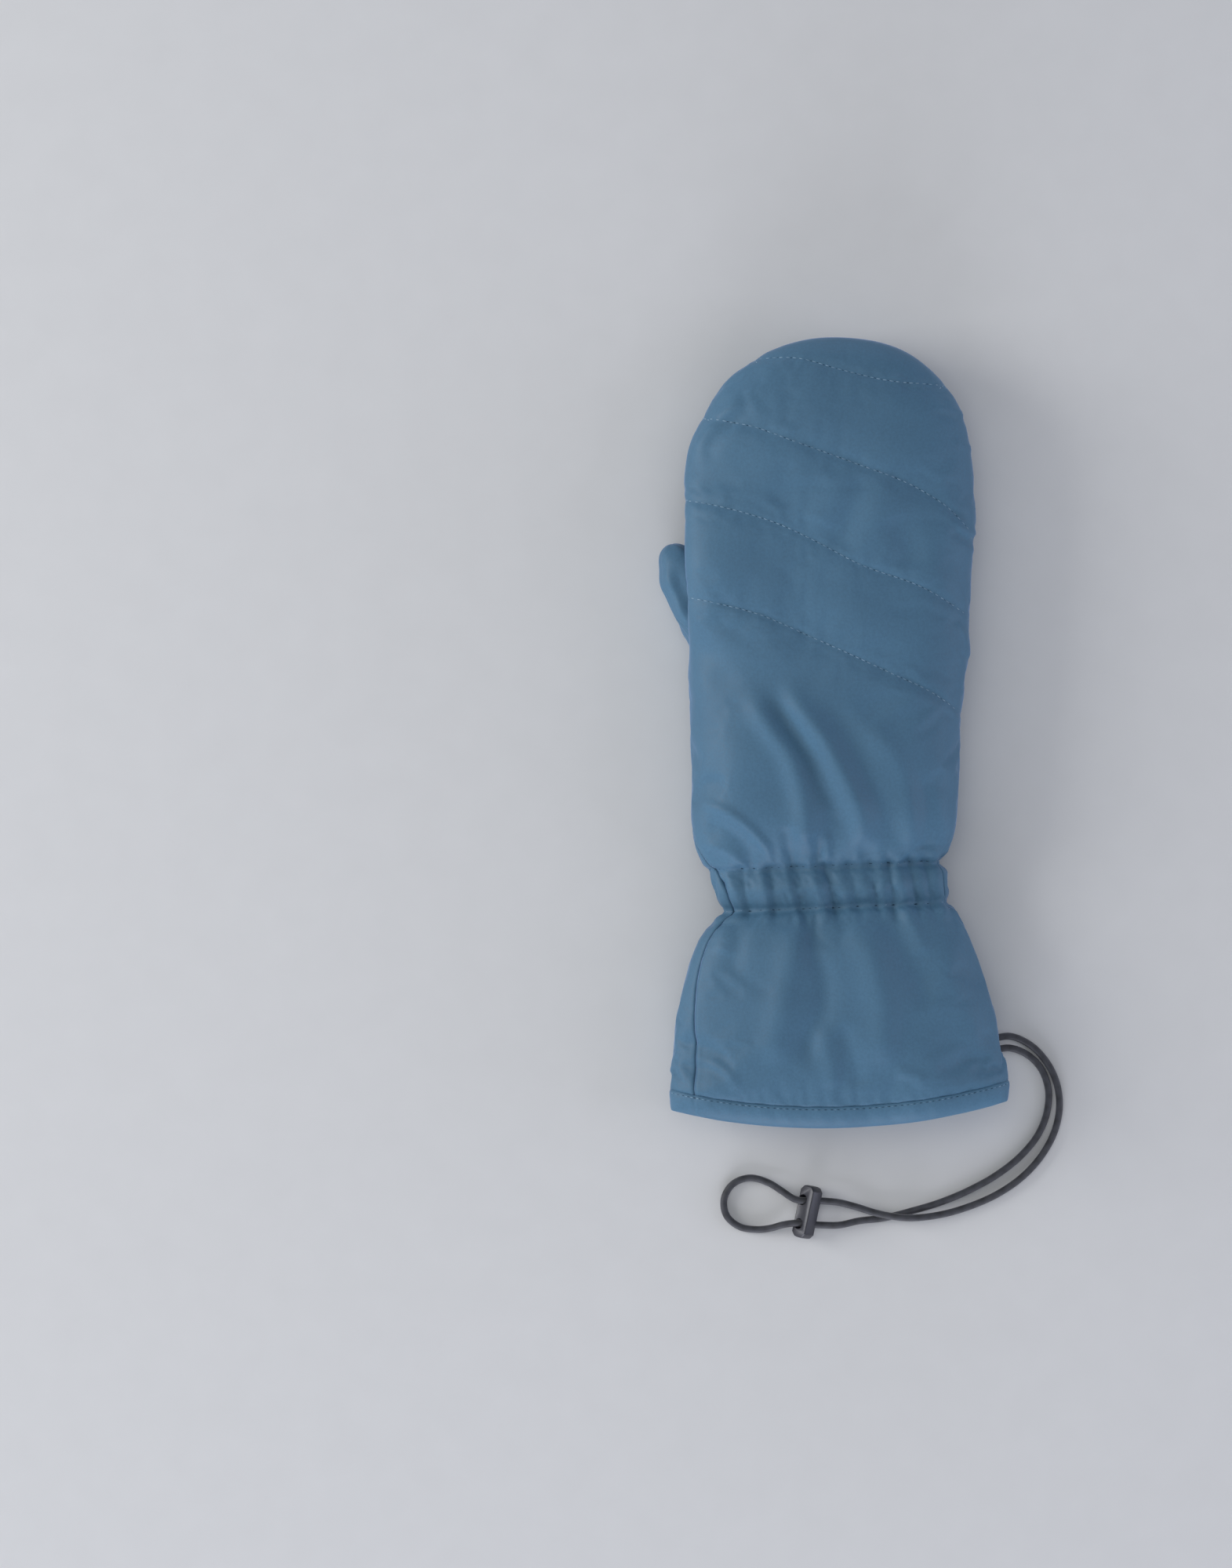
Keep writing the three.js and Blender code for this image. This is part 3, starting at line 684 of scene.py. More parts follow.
def stitch_mesh(name, places, length, width):
    """One mesh of short thread stitches. Each place is (centre, along, up), in millimetres."""
    rings, sides = 4, 6
    shape = []
    for ring in range(rings):
        turn = math.pi * (ring + 0.5) / rings
        for side in range(sides):
            angle = 2 * math.pi * side / sides
            shape.append(
                (
                    -math.cos(turn) * length / 2,
                    math.sin(turn) * math.cos(angle) * width / 2,
                    math.sin(turn) * math.sin(angle) * width / 2,
                )
            )
    shape = np.array(shape)
    body = [
        (r * sides + s, r * sides + (s + 1) % sides, (r + 1) * sides + (s + 1) % sides, (r + 1) * sides + s)
        for r in range(rings - 1)
        for s in range(sides)
    ]
    ends = [tuple(range(sides))[::-1], tuple((rings - 1) * sides + s for s in range(sides))]
    vertices, faces = [], []
    for centre, along, up in places:
        along = np.asarray(along) / np.linalg.norm(along)
        up = np.asarray(up) - np.dot(up, along) * along
        up = up / np.linalg.norm(up)
        axes = np.stack([along, np.cross(up, along), up])
        base = len(vertices)
        vertices.extend(np.asarray(centre) + shape @ axes)
        faces.extend(tuple(base + i for i in face) for face in body + ends)
    obj = mesh_object(name, vertices, faces)
    close_pole(obj, recalculate=True)
    return obj


def stitches_on(path, seen_from, tree, sink=0.05):
    """Stitch places along a line, dropped onto a surface along a direction."""
    spots = curve_through(path, max(2, round(length_of(np.array(path)) / STITCH_PITCH)))
    direction = Vector(seen_from)
    places = []
    for here, after in zip(spots[:-1], spots[1:]):
        start = Vector((*(here * MM), 0)) - direction * 0.2
        end = Vector((*(after * MM), 0)) - direction * 0.2
        hit, normal, _, _ = tree.ray_cast(start, direction)
        hit_next, _, _, _ = tree.ray_cast(end, direction)
        if hit is None or hit_next is None:
            continue
        up = np.array(normal if normal.dot(direction) < 0 else -normal)
        places.append((np.array(hit) / MM - up * sink, np.array(hit_next - hit), up))
    return places


def stitches_down(end, tree, sink=0.05):
    """Stitch places down the side of the mitten from the end of a quilt line to the seam."""
    out = Vector((end[0] - TIP_MIDDLE_X, max(0, end[1] - FINGER_BASE), 0)).normalized()
    start = Vector((*end, 0)) * MM + out * 0.05
    spots = []
    for z in np.arange(0.3, THICKNESS, 0.3):
        hit, normal, _, _ = tree.ray_cast(start + Vector((0, 0, z * MM)), -out)
        if hit is not None and (hit - start).length < 0.06 and normal.z < 0.8:
            spots.append((np.array(hit) / MM, np.array(normal)))
    if len(spots) < 3:
        return []
    return stitches_along(*(np.array(part) for part in zip(*spots)), sink)


def stitches_along(line, ups, sink=0.05):
    """Stitch places along a line of surface points that has its own normals."""
    gaps = np.linalg.norm(np.diff(line, axis=0), axis=1)
    length = np.r_[0, np.cumsum(gaps)]
    places = []
    for at in np.arange(STITCH_PITCH / 2, length[-1], STITCH_PITCH):
        spot, ahead, up = (
            np.array([np.interp(at + d, length, values[:, k]) for k in range(3)])
            for d, values in ((0, line), (0.8, line), (0, ups))
        )
        if np.linalg.norm(ahead - spot) > 1e-3:
            places.append((spot - up * sink, ahead - spot, up))
    return places


# ---- Materials -----------------------------------------------------------------------------------------
def new_material(name):
    """An empty material with its shader, and its node tree."""
    material = bpy.data.materials.new(name)
    material.use_nodes = True
    tree = material.node_tree
    tree.nodes.clear()
    output = tree.nodes.new("ShaderNodeOutputMaterial")
    shader = tree.nodes.new("ShaderNodeBsdfPrincipled")
    tree.links.new(shader.outputs["BSDF"], output.inputs["Surface"])
    return material, tree, shader


def node(tree, kind, settings=None, **links):
    """Adds a node. Settings are its properties or input values; links are input name to output socket."""
    made = tree.nodes.new(kind)
    for key, value in (settings or {}).items():
        if key in made.inputs:
            made.inputs[key].default_value = value
        else:
            setattr(made, key, value)
    for key, output in links.items():
        tree.links.new(output, made.inputs[key.replace("_", " ")])
    return made


def noise(tree, size, detail, **settings):
    """Noise on the object's own coordinates, with spots of about the size given, in millimetres."""
    place = node(tree, "ShaderNodeTexCoord")
    settings = {"Scale": 1 / (size * MM), "Detail": detail, **settings}
    return node(tree, "ShaderNodeTexNoise", settings, Vector=place.outputs["Object"]).outputs["Fac"]


def bands(tree, pitch, vector, direction="X", **settings):
    """Parallel bands that lie a pitch apart, in millimetres. A wave texture of scale 1 repeats each
    tenth of pi."""
    settings = {"Scale": math.pi / 10 / (pitch * MM), "bands_direction": direction, **settings}
    return node(tree, "ShaderNodeTexWave", settings, Vector=vector).outputs["Fac"]


def combine(tree, operation, first, second):
    """Two values brought into one."""
    both = node(tree, "ShaderNodeMath", {"operation": operation})
    tree.links.new(first, both.inputs[0])
    tree.links.new(second, both.inputs[1])
    return both.outputs["Value"]


def ramp(tree, factor, dark, light, start=0.0, stop=1.0):
    """A colour that runs from dark to light between two values of a factor."""
    tone = node(tree, "ShaderNodeValToRGB", None, Fac=factor)
    dark_end, light_end = tone.color_ramp.elements
    dark_end.position, dark_end.color = start, linear(dark)
    light_end.position, light_end.color = stop, linear(light)
    return tone.outputs["Color"]


def spread(tree, value, low, high, to_low, to_high):
    """A value mapped from one range to another."""
    limits = {"From Min": low, "From Max": high, "To Min": to_low, "To Max": to_high}
    return node(tree, "ShaderNodeMapRange", limits, Value=value).outputs["Result"]


def relief(tree, height, strength, depth, **links):
    """A bumped normal, its depth in millimetres."""
    settings = {"Strength": strength, "Distance": depth * MM}
    return node(tree, "ShaderNodeBump", settings, Height=height, **links).outputs["Normal"]


def set_shader(tree, shader, links, **numbers):
    """Links a shader's textured inputs, and sets its uniform ones on their own sockets."""
    for name, output in links.items():
        tree.links.new(output, shader.inputs[name])
    for name, value in numbers.items():
        shader.inputs[name.replace("_", " ")].default_value = value


def shell_nylon(colours):
    """Nylon shell cloth, dyed and softly calendered: a matt face with a pale sheen where it turns away,
    and threads too fine to show."""
    material, tree, shader = new_material("shell_nylon")
    uv = node(tree, "ShaderNodeUVMap", {"uv_map": "cloth"}).outputs["UV"]
    # The weave is drawn as faint, wavy ribs 4.4 mm apart, much coarser than its threads.
    warp, weft = (bands(tree, 1.4 * math.pi, uv, way, Distortion=1.2, Detail=2.0) for way in "XY")
    weave = combine(tree, "ADD", warp, weft)
    fleck = noise(tree, 1 / 0.9, 3.0)
    tone = ramp(tree, noise(tree, 62.5, 4.0), colours.shell_dark, colours.shell, 0.3, 0.72)
    shade = node(tree, "ShaderNodeVectorMath", {"operation": "SCALE"})
    tree.links.new(tone, shade.inputs[0])
    tree.links.new(spread(tree, fleck, 0.3, 0.7, 0.93, 1.06), shade.inputs["Scale"])
    links = {
        "Base Color": shade.outputs["Vector"],
        "Roughness": spread(tree, fleck, 0.2, 0.8, 0.5, 0.66),
        "Normal": relief(tree, fleck, 0.2, 0.2, Normal=relief(tree, weave, 0.12, 0.1)),
    }
    set_shader(
        tree,
        shader,
        links,
        Sheen_Weight=0.6,
        Sheen_Roughness=0.25,
        Sheen_Tint=linear(colours.shell_sheen),
        Specular_IOR_Level=0.4,
    )
    return material


def plain_cloth(name, dark, light, spot_size, rough, sheen, depth):
    """A soft cloth drawn by noise: tufts of the size given, and finer fibres in it."""
    material, tree, shader = new_material(name)
    tuft = noise(tree, spot_size, 5.0, Roughness=0.65)
    links = {"Base Color": ramp(tree, tuft, dark, light, 0.32, 0.7), "Normal": relief(tree, tuft, 0.6, depth)}
    set_shader(tree, shader, links, Roughness=rough, Sheen_Weight=sheen, Specular_IOR_Level=0.2)
    return material


def painted_hole_shade():
    """Shell cloth down in a needle hole, where it is stretched; its dark colour is painted shade, standing
    for the shadow the hole always lies in.
    """
    return plain_cloth("painted_hole_shade", "#2C4658", "#38566B", 0.5, 0.9, 0.0, 0.05)


def leash_braid(colours):
    """Braided polyester sleeve over rubber strands: dark, dull, with crossing ribs."""
    material, tree, shader = new_material("leash_braid")
    uv = node(tree, "ShaderNodeUVMap", {"uv_map": "cloth"}).outputs["UV"]
    # The ribs are drawn 6.3 mm apart, ten times as coarse as a real braid's.
    ribs = []
    for turn in (0.7, -0.7):
        turned = node(tree, "ShaderNodeMapping", {"Rotation": (0, 0, turn)}, Vector=uv)
        ribs.append(bands(tree, 2 * math.pi, turned.outputs[0]))
    cross = combine(tree, "MAXIMUM", *ribs)
    links = {
        # The colour is darker in the hollows between the ribs than on their crests: painted shade in the
        # hollows.
        "Base Color": ramp(tree, cross, colours.cord_hollow_shade, colours.cord),
        "Normal": relief(tree, cross, 0.5, 0.2),
    }
    set_shader(tree, shader, links, Roughness=0.6, Sheen_Weight=0.25)
    return material


def lock_acetal(colours):
    """Moulded acetal, dyed through: a low satin gloss over a fine spark-eroded grain."""
    material, tree, shader = new_material("lock_acetal")
    grain = noise(tree, 0.4, 3.0)
    links = {
        "Base Color": ramp(tree, grain, colours.lock_dark, colours.lock),
        "Normal": relief(tree, grain, 0.25, 0.1),
    }
    set_shader(tree, shader, links, Roughness=0.4, IOR=1.48, Specular_IOR_Level=0.8)
    return material


def floor_paper():
    """Matt background paper."""
    material, tree, shader = new_material("floor_paper")
    tone = ramp(tree, noise(tree, 1 / 0.06, 4.0), "#D9D9D7", "#DEDEDC")
    set_shader(tree, shader, {"Base Color": tone}, Roughness=0.9)
    return material


# ---- Settings a user would change ------------------------------------------------------------------
def colour_setting(name, description, default):
    """A colour that the user can change."""
    return bpy.props.StringProperty(name=name, description=description, default=default)


def length_setting(name, description, default):
    """A length that the user can change, in metres."""
    return bpy.props.FloatProperty(
        name=name, description=description, default=default, unit="LENGTH", subtype="DISTANCE"
    )


class MittenColours(bpy.types.PropertyGroup):
    """Colours, as sRGB hex values."""

    shell: colour_setting("Shell", "Lighter tone of the shell cloth", "#4E7690")
    shell_dark: colour_setting("Shell shade", "Darker tone of the shell cloth", "#476D86")
    shell_sheen: colour_setting("Shell sheen", "Tint of the cloth's sheen", "#A9B9E6")
    thread: colour_setting("Thread", "Stitching thread", "#9BB8CC")
    lining: colour_setting("Lining", "Fleece lining", "#3E5A72")
    cord: colour_setting("Cord", "Leash cord", "#3B3C41")
    # Painted shade: the cord's braid is coloured darker in its hollows.
    cord_hollow_shade: colour_setting("Cord shade", "Hollows of the cord's braid", "#26262A")
    lock: colour_setting("Lock", "Cord lock", "#2E2E36")
    lock_dark: colour_setting("Lock shade", "Darker grain of the cord lock", "#24242B")


class MittenSizes(bpy.types.PropertyGroup):
    """Sizes of the cloth and its mesh."""

    rows: bpy.props.IntProperty(
        name="Rows", description="Points along a panel, hem to fingertip", default=331, min=61
    )
    columns: bpy.props.IntProperty(
        name="Columns", description="Points across a panel, seam to seam", default=127, min=25
    )
    cloth: length_setting("Cloth thickness", "Thickness of the shell cloth", 0.7 * MM)
    lining_depth: length_setting("Lining depth", "How far the lining lies inside the shell", 6.4 * MM)
    hem: length_setting("Hem height", "Height of the binding round the hem", 9.3 * MM)


def settings():
    """The scene's mitten sizes and colours."""
    scene = bpy.context.scene
    return scene.mitten_sizes, scene.mitten_colours


def get_material(name, make):
    """A material made once and shared by name."""
    return bpy.data.materials.get(name) or make()


def shell_material():
    """The shell cloth, which all the shell's pieces share."""
    return get_material("shell_nylon", lambda: shell_nylon(settings()[1]))


def thread_material():
    """Spun polyester thread: dull and a little paler than the cloth."""
    thread = settings()[1].thread
    return get_material(
        "thread_polyester",
        lambda: plain_cloth("thread_polyester", "#5B7C95", thread, 7, 0.7, 0.3, 0.05),
    )


# ---- Operators ---------------------------------------------------------------------------------------
class MITTEN_OT_stage(bpy.types.Operator):
    """Floor, lights and camera"""

    bl_idname = "mitten.stage"
    bl_label = "Stage"

    def execute(self, context):
        bpy.ops.object.select_all(action="DESELECT")
        bpy.ops.mesh.primitive_plane_add(size=8, location=(0, 0, -0.0004))
        floor = context.object
        floor.name = "floor"
        floor.data.materials.append(floor_paper())
        above = Vector(VIEW_CENTRE) * MM + Vector((0, 0, CAMERA_HEIGHT))
        bpy.ops.object.camera_add(location=above, rotation=(0, 0, 0))
        camera = context.object
        camera.data.sensor_width = SENSOR
        camera.data.lens = SENSOR * CAMERA_HEIGHT / VIEW_TALL
        context.scene.camera = camera
        world = bpy.data.worlds.new("studio")
        world.use_nodes = True
        background = world.node_tree.nodes["Background"]
        background.inputs["Color"].default_value = linear("#E4E9F2")
        background.inputs["Strength"].default_value = 0.35
        context.scene.world = world
        lamps = [
            # place, width, height, watts, tint: a key from the thumb side, two fills, an overhead, and low
            # strips all round that brighten the edges
            ((-1.8, 0.3, 0.8), 1.0, 1.0, 18.6, "#FFFFFF"),
            ((1.5, -0.2, 0.8), 0.8, 0.8, 3.5, "#E6E9FF"),
            ((-0.3, -1.8, 0.6), 1.0, 0.8, 11, "#F0F2FF"),
            ((-0.3, 0.3, 2.2), 1.2, 1.2, 5, "#FFFFFF"),
            ((1.6, 0, 0.36), 1.6, 0.3, 4.2, "#DFE3FF"),
            ((-1.6, 0, 0.36), 1.6, 0.3, 3.2, "#DFE3FF"),
            ((0, 1.7, 0.36), 1.6, 0.3, 4, "#DFE3FF"),
            ((-0.2, -1.9, 0.36), 1.8, 0.3, 10, "#E8ECFF"),
        ]
        for place, width, height, power, tint in lamps:
            bpy.ops.object.light_add(type="AREA", location=place)
            lamp = context.object
            lamp.data.shape = "RECTANGLE"
            lamp.data.size = width
            lamp.data.size_y = height
            lamp.data.energy = power
            lamp.data.color = linear(tint)[:3]
            lamp.rotation_euler = (-Vector(place)).to_track_quat("-Z", "Y").to_euler()
        context.scene.view_settings.view_transform = "Standard"
        return {"FINISHED"}


SHELL = {}  # the finished points of both panels, by side
HEM_LINE = []  # the points that the hem's stitches follow, and their normals


def shell_grid(side):
    """Final outer points of the back or palm panel, before the cloth gets its thickness."""
    if not SHELL:
        make_shell()
    return SHELL[side].copy()


def make_shell():
    """Shapes both panels: smooth form, filling, then folds, gathers and seams."""
    sizes = settings()[0]
    plain = [panel_grid(sizes.rows, sizes.columns, side) for side in (1, -1)]
    puffs = blow_up([grid for grid, _ in plain])
    finished = []
    for side, (grid, seam_gap), puff in zip((1, -1), plain, puffs):
        relief = panel_relief(grid, seam_gap, side)
        taper = 1 - step(grid[..., 1], 154, 167) * 0.9
        puff = puff * (1 - 0.55 * step(grid[..., 1], -20, 30))[..., None]
        grid = grid + (puff + normals(grid) * relief[..., None]) * taper[..., None]
        grid[-1] = grid[-1].mean(axis=0)
        finished.append(over_thumb(grid) if side < 0 else grid)
    join_seams(*finished)
    for side, grid in zip((1, -1), finished):
        grid[..., 2] = np.maximum(grid[..., 2], 0)
        SHELL[side] = hem_bow(grid)


def join_seams(back, palm):
    """Brings the two panels together along both side seams."""
    fade = 1 - step(np.arange(SEAM_BLEND), 0, SEAM_BLEND)
    for edge, inward, other, other_inward in ((0, 1, -1, -1), (-1, -1, 0, 1)):
        gap = palm[:, other] - back[:, edge]
        for k, share in enumerate(fade):
            back[:, edge + inward * k] += gap / 2 * share
            palm[:, other + other_inward * k] -= gap / 2 * share


class MITTEN_OT_panels(bpy.types.Operator):
    """Back and palm panels of the outer shell, from the fingertips to the hem"""

    bl_idname = "mitten.panels"
    bl_label = "Shell panels"

    def execute(self, context):
        sizes, _ = settings()
        for name, side, nodes in (
            (
                "back_panel",
                1,
                ["back_shell", "back_insulation", "cuff_back_shell", "cuff_back_insulation", "wrist_casing"],
            ),
            (
                "palm_panel",
                -1,
                ["palm_shell", "palm_insulation", "cuff_palm_shell", "cuff_palm_insulation", "wrist_elastic"],
            ),
        ):
            panel = grid_object(name, shell_grid(side))
            close_pole(panel)
            apply_modifier(panel, "SOLIDIFY", thickness=sizes.cloth, offset=-1, use_quality_normals=True)
            give(panel, shell_material())
            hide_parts(*nodes)
            bend_at_wrist(panel)
        return {"FINISHED"}


def bend_at_wrist(piece):
    """Moves a piece's place and turn into its mesh."""
    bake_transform(piece)


def frame_joint(name):
    """A joint of the frame by its name."""
    return next(j for j in frame["joints"] if j["name"] == name)


class MITTEN_OT_stitching(bpy.types.Operator):
    """Quilting, wrist and hem stitches"""

    bl_idname = "mitten.stitching"
    bl_label = "Stitching"

    def execute(self, context):
        back = bpy.data.objects["back_panel"]
        tree = BVHTree.FromObject(back, context.evaluated_depsgraph_get())
        quilting = []
        for line in QUILT_LINES:
            quilting += stitches_on(line, (0, 0, -1), tree)
            for end in (line[0], line[-1]):
                quilting += stitches_down(end, tree)
        sew("quilt", quilting, "hand")
        grids = [shell_grid(side) for side in (1, -1)]
        rows = form_rows(settings()[0].rows)[0]
        for name, place, body in (("wrist_upper", ROW_TOP, "hand"), ("wrist_lower", ROW_BOTTOM, "cuff")):
            row = int(np.abs(rows - place).argmin())
            places = []
            for grid in grids:
                places += stitches_along(grid[row], normals(grid)[row])
            sew(name, places, body, PULLED)
        sew("hem", stitches_along(*HEM_LINE), "cuff", PULLED)
        return {"FINISHED"}


def sew(name, places, body, pulled=0.0):
    """A row of stitches, and between them dark patches that paint the shade in the needle holes. Pulled
    stitches are sunk by that much and have wider holes."""
    places = [(here - pulled * up, along, up) for here, along, up in places]
    stitches = stitch_mesh(name + "_stitches", places, STITCH_LENGTH, STITCH_WIDTH)
    give(stitches, thread_material())
    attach(stitches, body)
    between = []
    for (here, along, up), (after, _, _) in zip(places[:-1], places[1:]):
        if np.linalg.norm(after - here) < 1.5 * STITCH_PITCH:
            between.append(((here + after) / 2 + (0.4 * pulled - 0.02) * up, along, up))
    length, width = STITCH_PITCH - STITCH_LENGTH + 3 * pulled, STITCH_WIDTH * 0.9 + pulled
    # Painted shade: dark capsules between the stitches stand for the shadow down in the needle holes.
    holes = stitch_mesh(name + "_painted_hole_shades", between, length, width)
    give(holes, get_material("painted_hole_shade", painted_hole_shade))
    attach(holes, body)


class MITTEN_OT_hem(bpy.types.Operator):
    """Binding round the hem"""

    bl_idname = "mitten.hem"
    bl_label = "Hem binding"

    def execute(self, context):
        sizes, _ = settings()
        height, wall = sizes.hem / MM, sizes.lining_depth / MM
        # The binding's section: (down towards the opening, out from the shell).
        profile = [
            (-0.3, -0.7), (0.05, -0.1), (0.5, 0.35), (2.2, 0.45), (4, 0.05), (5.8, -0.7), (7.3, -1.6),
            (8.5, -2.7), (height, -4), (height, -wall + 1.2), (8, -wall - 0.3), (5, -wall - 1.2),
            (1, -wall - 1.5), (-1.2, -wall - 1), (-1.6, -3),
        ]
        ring = np.concatenate([shell_grid(side)[0][:-1] for side in (1, -1)])
        around = sum(np.roll(ring, -k, axis=0) - np.roll(ring, k, axis=0) for k in (1, 2, 3))
        out = np.stack([around[:, 2], np.zeros(len(ring)), -around[:, 0]], axis=1)
        out /= np.linalg.norm(out, axis=1, keepdims=True)
        flare = np.stack([ring[:, 0] / 75 * 0.06, np.full(len(ring), -1.0), np.zeros(len(ring))], axis=1)
        grid = np.stack([ring + flare * down + out * outward for down, outward in profile])
        squarer = (out[:, 0] ** 2)[:, None] * out
        for k, (_, outward) in enumerate(profile[:9]):
            grid[k] -= squarer * min(0, outward) * 0.75
        grid[..., 2] = np.maximum(grid[..., 2], 0)
        share = np.linspace(0, 2 * math.pi, len(ring), endpoint=False)
        for k in range(1, 9):
            grid[k] += out * (0.07 * np.sin(37 * share + k) + 0.1 * np.sin(23 * share))[:, None]
        HEM_LINE[:] = (0.6 * grid[2] + 0.4 * grid[3], out)
        hem = grid_object("hem_binding", grid, wrap_columns=True, wrap_rows=True)
        close_pole(hem, recalculate=True)
        apply_modifier(hem, "SUBSURF", levels=1, render_levels=1)
        give(hem, shell_material())
        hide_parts("hem_band")
        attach(hem, "cuff")
        return {"FINISHED"}


class MITTEN_OT_lining(bpy.types.Operator):
    """Fleece lining, one bag from the hem to the fingertips"""

    bl_idname = "mitten.lining"
    bl_label = "Lining"

    def execute(self, context):
        sizes, colours = settings()
        depth = sizes.lining_depth / MM
        halves = [panel_grid(150, 64, side, depth)[0][:, :-1] for side in (1, -1)]
        grid = np.concatenate(halves, axis=1)
        swell = 0.8 * ripple(grid[..., 0], grid[..., 1], 22, 31) * step(grid[..., 1] - HEM_SEAM, 0, 14)
        grid = grid + normals(grid) * swell[..., None]
        grid[-1] = grid[-1].mean(axis=0)
        lining = grid_object("lining_bag", hem_bow(grid), wrap_columns=True)
        close_pole(lining, recalculate=True)
        apply_modifier(lining, "SOLIDIFY", thickness=0.9 * MM, offset=-1)
        fleece = plain_cloth("lining_fleece", "#2C4257", colours.lining, 1.4, 0.95, 0.6, 0.5)
        give(lining, fleece)
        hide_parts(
            "back_lining", "palm_lining", "cuff_back_lining", "cuff_palm_lining", "wrist_lining"
        )
        bend_at_wrist(lining)
        return {"FINISHED"}


def thumb_frame(x, y):
    """Distance along and across the thumb's own axis, from its pivot."""
    dx, dy = x - THUMB_ROOT_PIVOT[0], y - THUMB_ROOT_PIVOT[1]
    along = -dx * math.sin(THUMB_LEAN) + dy * math.cos(THUMB_LEAN)
    across = dx * math.cos(THUMB_LEAN) + dy * math.sin(THUMB_LEAN)
    return along, across


class MITTEN_OT_thumb(bpy.types.Operator):
    """Thumb, padded, with its seam over the top"""

    bl_idname = "mitten.thumb"
    bl_label = "Thumb"

    def execute(self, context):
        rows, columns = 120, 120
        base = THUMB_LENGTH - THUMB_TIP_LENGTH
        straight = 84
        along = np.linspace(-THUMB_BURIED, base, straight, endpoint=False)
        along = np.r_[along, np.full(rows - straight, base)]
        angle = np.r_[np.zeros(straight), np.linspace(0, math.pi / 2, rows - straight)]
        along = along + THUMB_TIP_LENGTH * np.sin(angle)
        share = np.maximum(0, 1 - np.sin(angle) ** THUMB_TIP_SQUARENESS) ** (1 / THUMB_TIP_SQUARENESS)
        wide = THUMB_HALF_WIDTH * share * (1 - 0.3 * step(-along, -9, 10))
        tall = THUMB_THICKNESS / 2 * share**0.8 * (1 - 0.25 * step(-along, 4, THUMB_BURIED))
        turn = np.linspace(0, 2 * math.pi, columns, endpoint=False)
        c, s = np.cos(turn), np.sin(turn)
        across = wide[:, None] * np.sign(c) * np.abs(c) ** 0.85
        z = THUMB_UNDERSIDE + THUMB_THICKNESS / 2 + tall[:, None] * np.sign(s) * np.abs(s) ** 0.9
        across = across * (1 + 0.09 * bump(along - 27, 9)[:, None] * (c < 0))
        slant = THUMB_TIP_SLANT * step(along, base, base + THUMB_TIP_LENGTH)
        long = along[:, None] - slant[:, None] * across
        lean_x = THUMB_ROOT_PIVOT[0] + across * math.cos(THUMB_LEAN) - long * math.sin(THUMB_LEAN)
        lean_y = THUMB_ROOT_PIVOT[1] + across * math.sin(THUMB_LEAN) + long * math.cos(THUMB_LEAN)
        grid = np.stack([lean_x, lean_y, z], axis=2)
        arc = np.broadcast_to(turn, across.shape)
        seam_up = np.abs(arc - math.pi * (0.76 + 0.22 * step(long, 7, 19))) * THUMB_RADIUS
        seam_down = np.abs(arc - 1.8 * math.pi) * THUMB_RADIUS
        relief = -0.55 * bump(seam_up, 0.8) - 0.5 * bump(seam_down, 0.9)
        relief += 0.3 * bump(seam_up - 2.2, 1.2) + 0.35 * ripple(long, arc * THUMB_RADIUS, 15, 41)
        hollow = bump(arc - 0.58 * math.pi, 0.32) - 0.5 * bump(arc - 0.72 * math.pi, 0.16)
        relief -= 1.5 * hollow * step(long, 8, 18) * (1 - step(long, 26, 40))
        crease = 0.2 * bump(long - 9 - 3 * np.sin(arc), 3) - 0.2 * bump(long - 5 - 3 * np.sin(arc), 3)
        fade = share[:, None] ** 0.5
        grid = grid + normals(grid) * ((relief + crease) * fade)[..., None]
        grid[-1] = grid[-1].mean(axis=0)
        grid[..., 2] = np.maximum(grid[..., 2], 0.2)
        thumb = grid_object("thumb_panels", grid, wrap_columns=True)
        close_pole(thumb, recalculate=True)
        apply_modifier(thumb, "SOLIDIFY", thickness=settings()[0].cloth, offset=-1)
        give(thumb, shell_material())
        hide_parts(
            "thumb_back_shell", "thumb_palm_shell", "thumb_insulation", "thumb_lining", "thumb_gusset"
        )
        z = frame_joint("thumb_swing")["pos_m"][2]
        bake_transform(thumb)
        return {"FINISHED"}


class MITTEN_OT_label(bpy.types.Operator):
    """Blank care label inside the cuff"""

    bl_idname = "mitten.label"
    bl_label = "Care label"

    def execute(self, context):
        low, high = (Vector(corner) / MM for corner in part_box("care_label"))
        rows, columns = 26, 18
        across = np.linspace(low.x, high.x, columns)
        along = np.linspace(low.y, high.y, rows)
        x, y = np.meshgrid(across, along)
        lining = BVHTree.FromObject(bpy.data.objects["lining_bag"], context.evaluated_depsgraph_get())
        down = Vector((0, 0, -1))
        middle_z = THICKNESS / 2 * MM
        spots = [lining.ray_cast(Vector((u * MM, v * MM, middle_z)), down)[0] for u, v in zip(x.flat, y.flat)]
        lies_on = np.array([spot.z / MM for spot in spots]).reshape(x.shape)
        curl = 2.4 * step(-y, -(low.y + 12), -low.y) + 0.15 * np.sin(x * 0.5)
        grid = np.stack([x, y, lies_on + 0.6 + curl], axis=2)
        label = grid_object("blank_care_label", grid)
        apply_modifier(label, "SOLIDIFY", thickness=0.35 * MM, offset=-1)
        satin = plain_cloth("label_satin", "#C9C9C6", "#DCDCD9", 0.5, 0.45, 0.2, 0.05)
        give(label, satin)
        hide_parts("care_label")
        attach(label, "cuff")
        return {"FINISHED"}


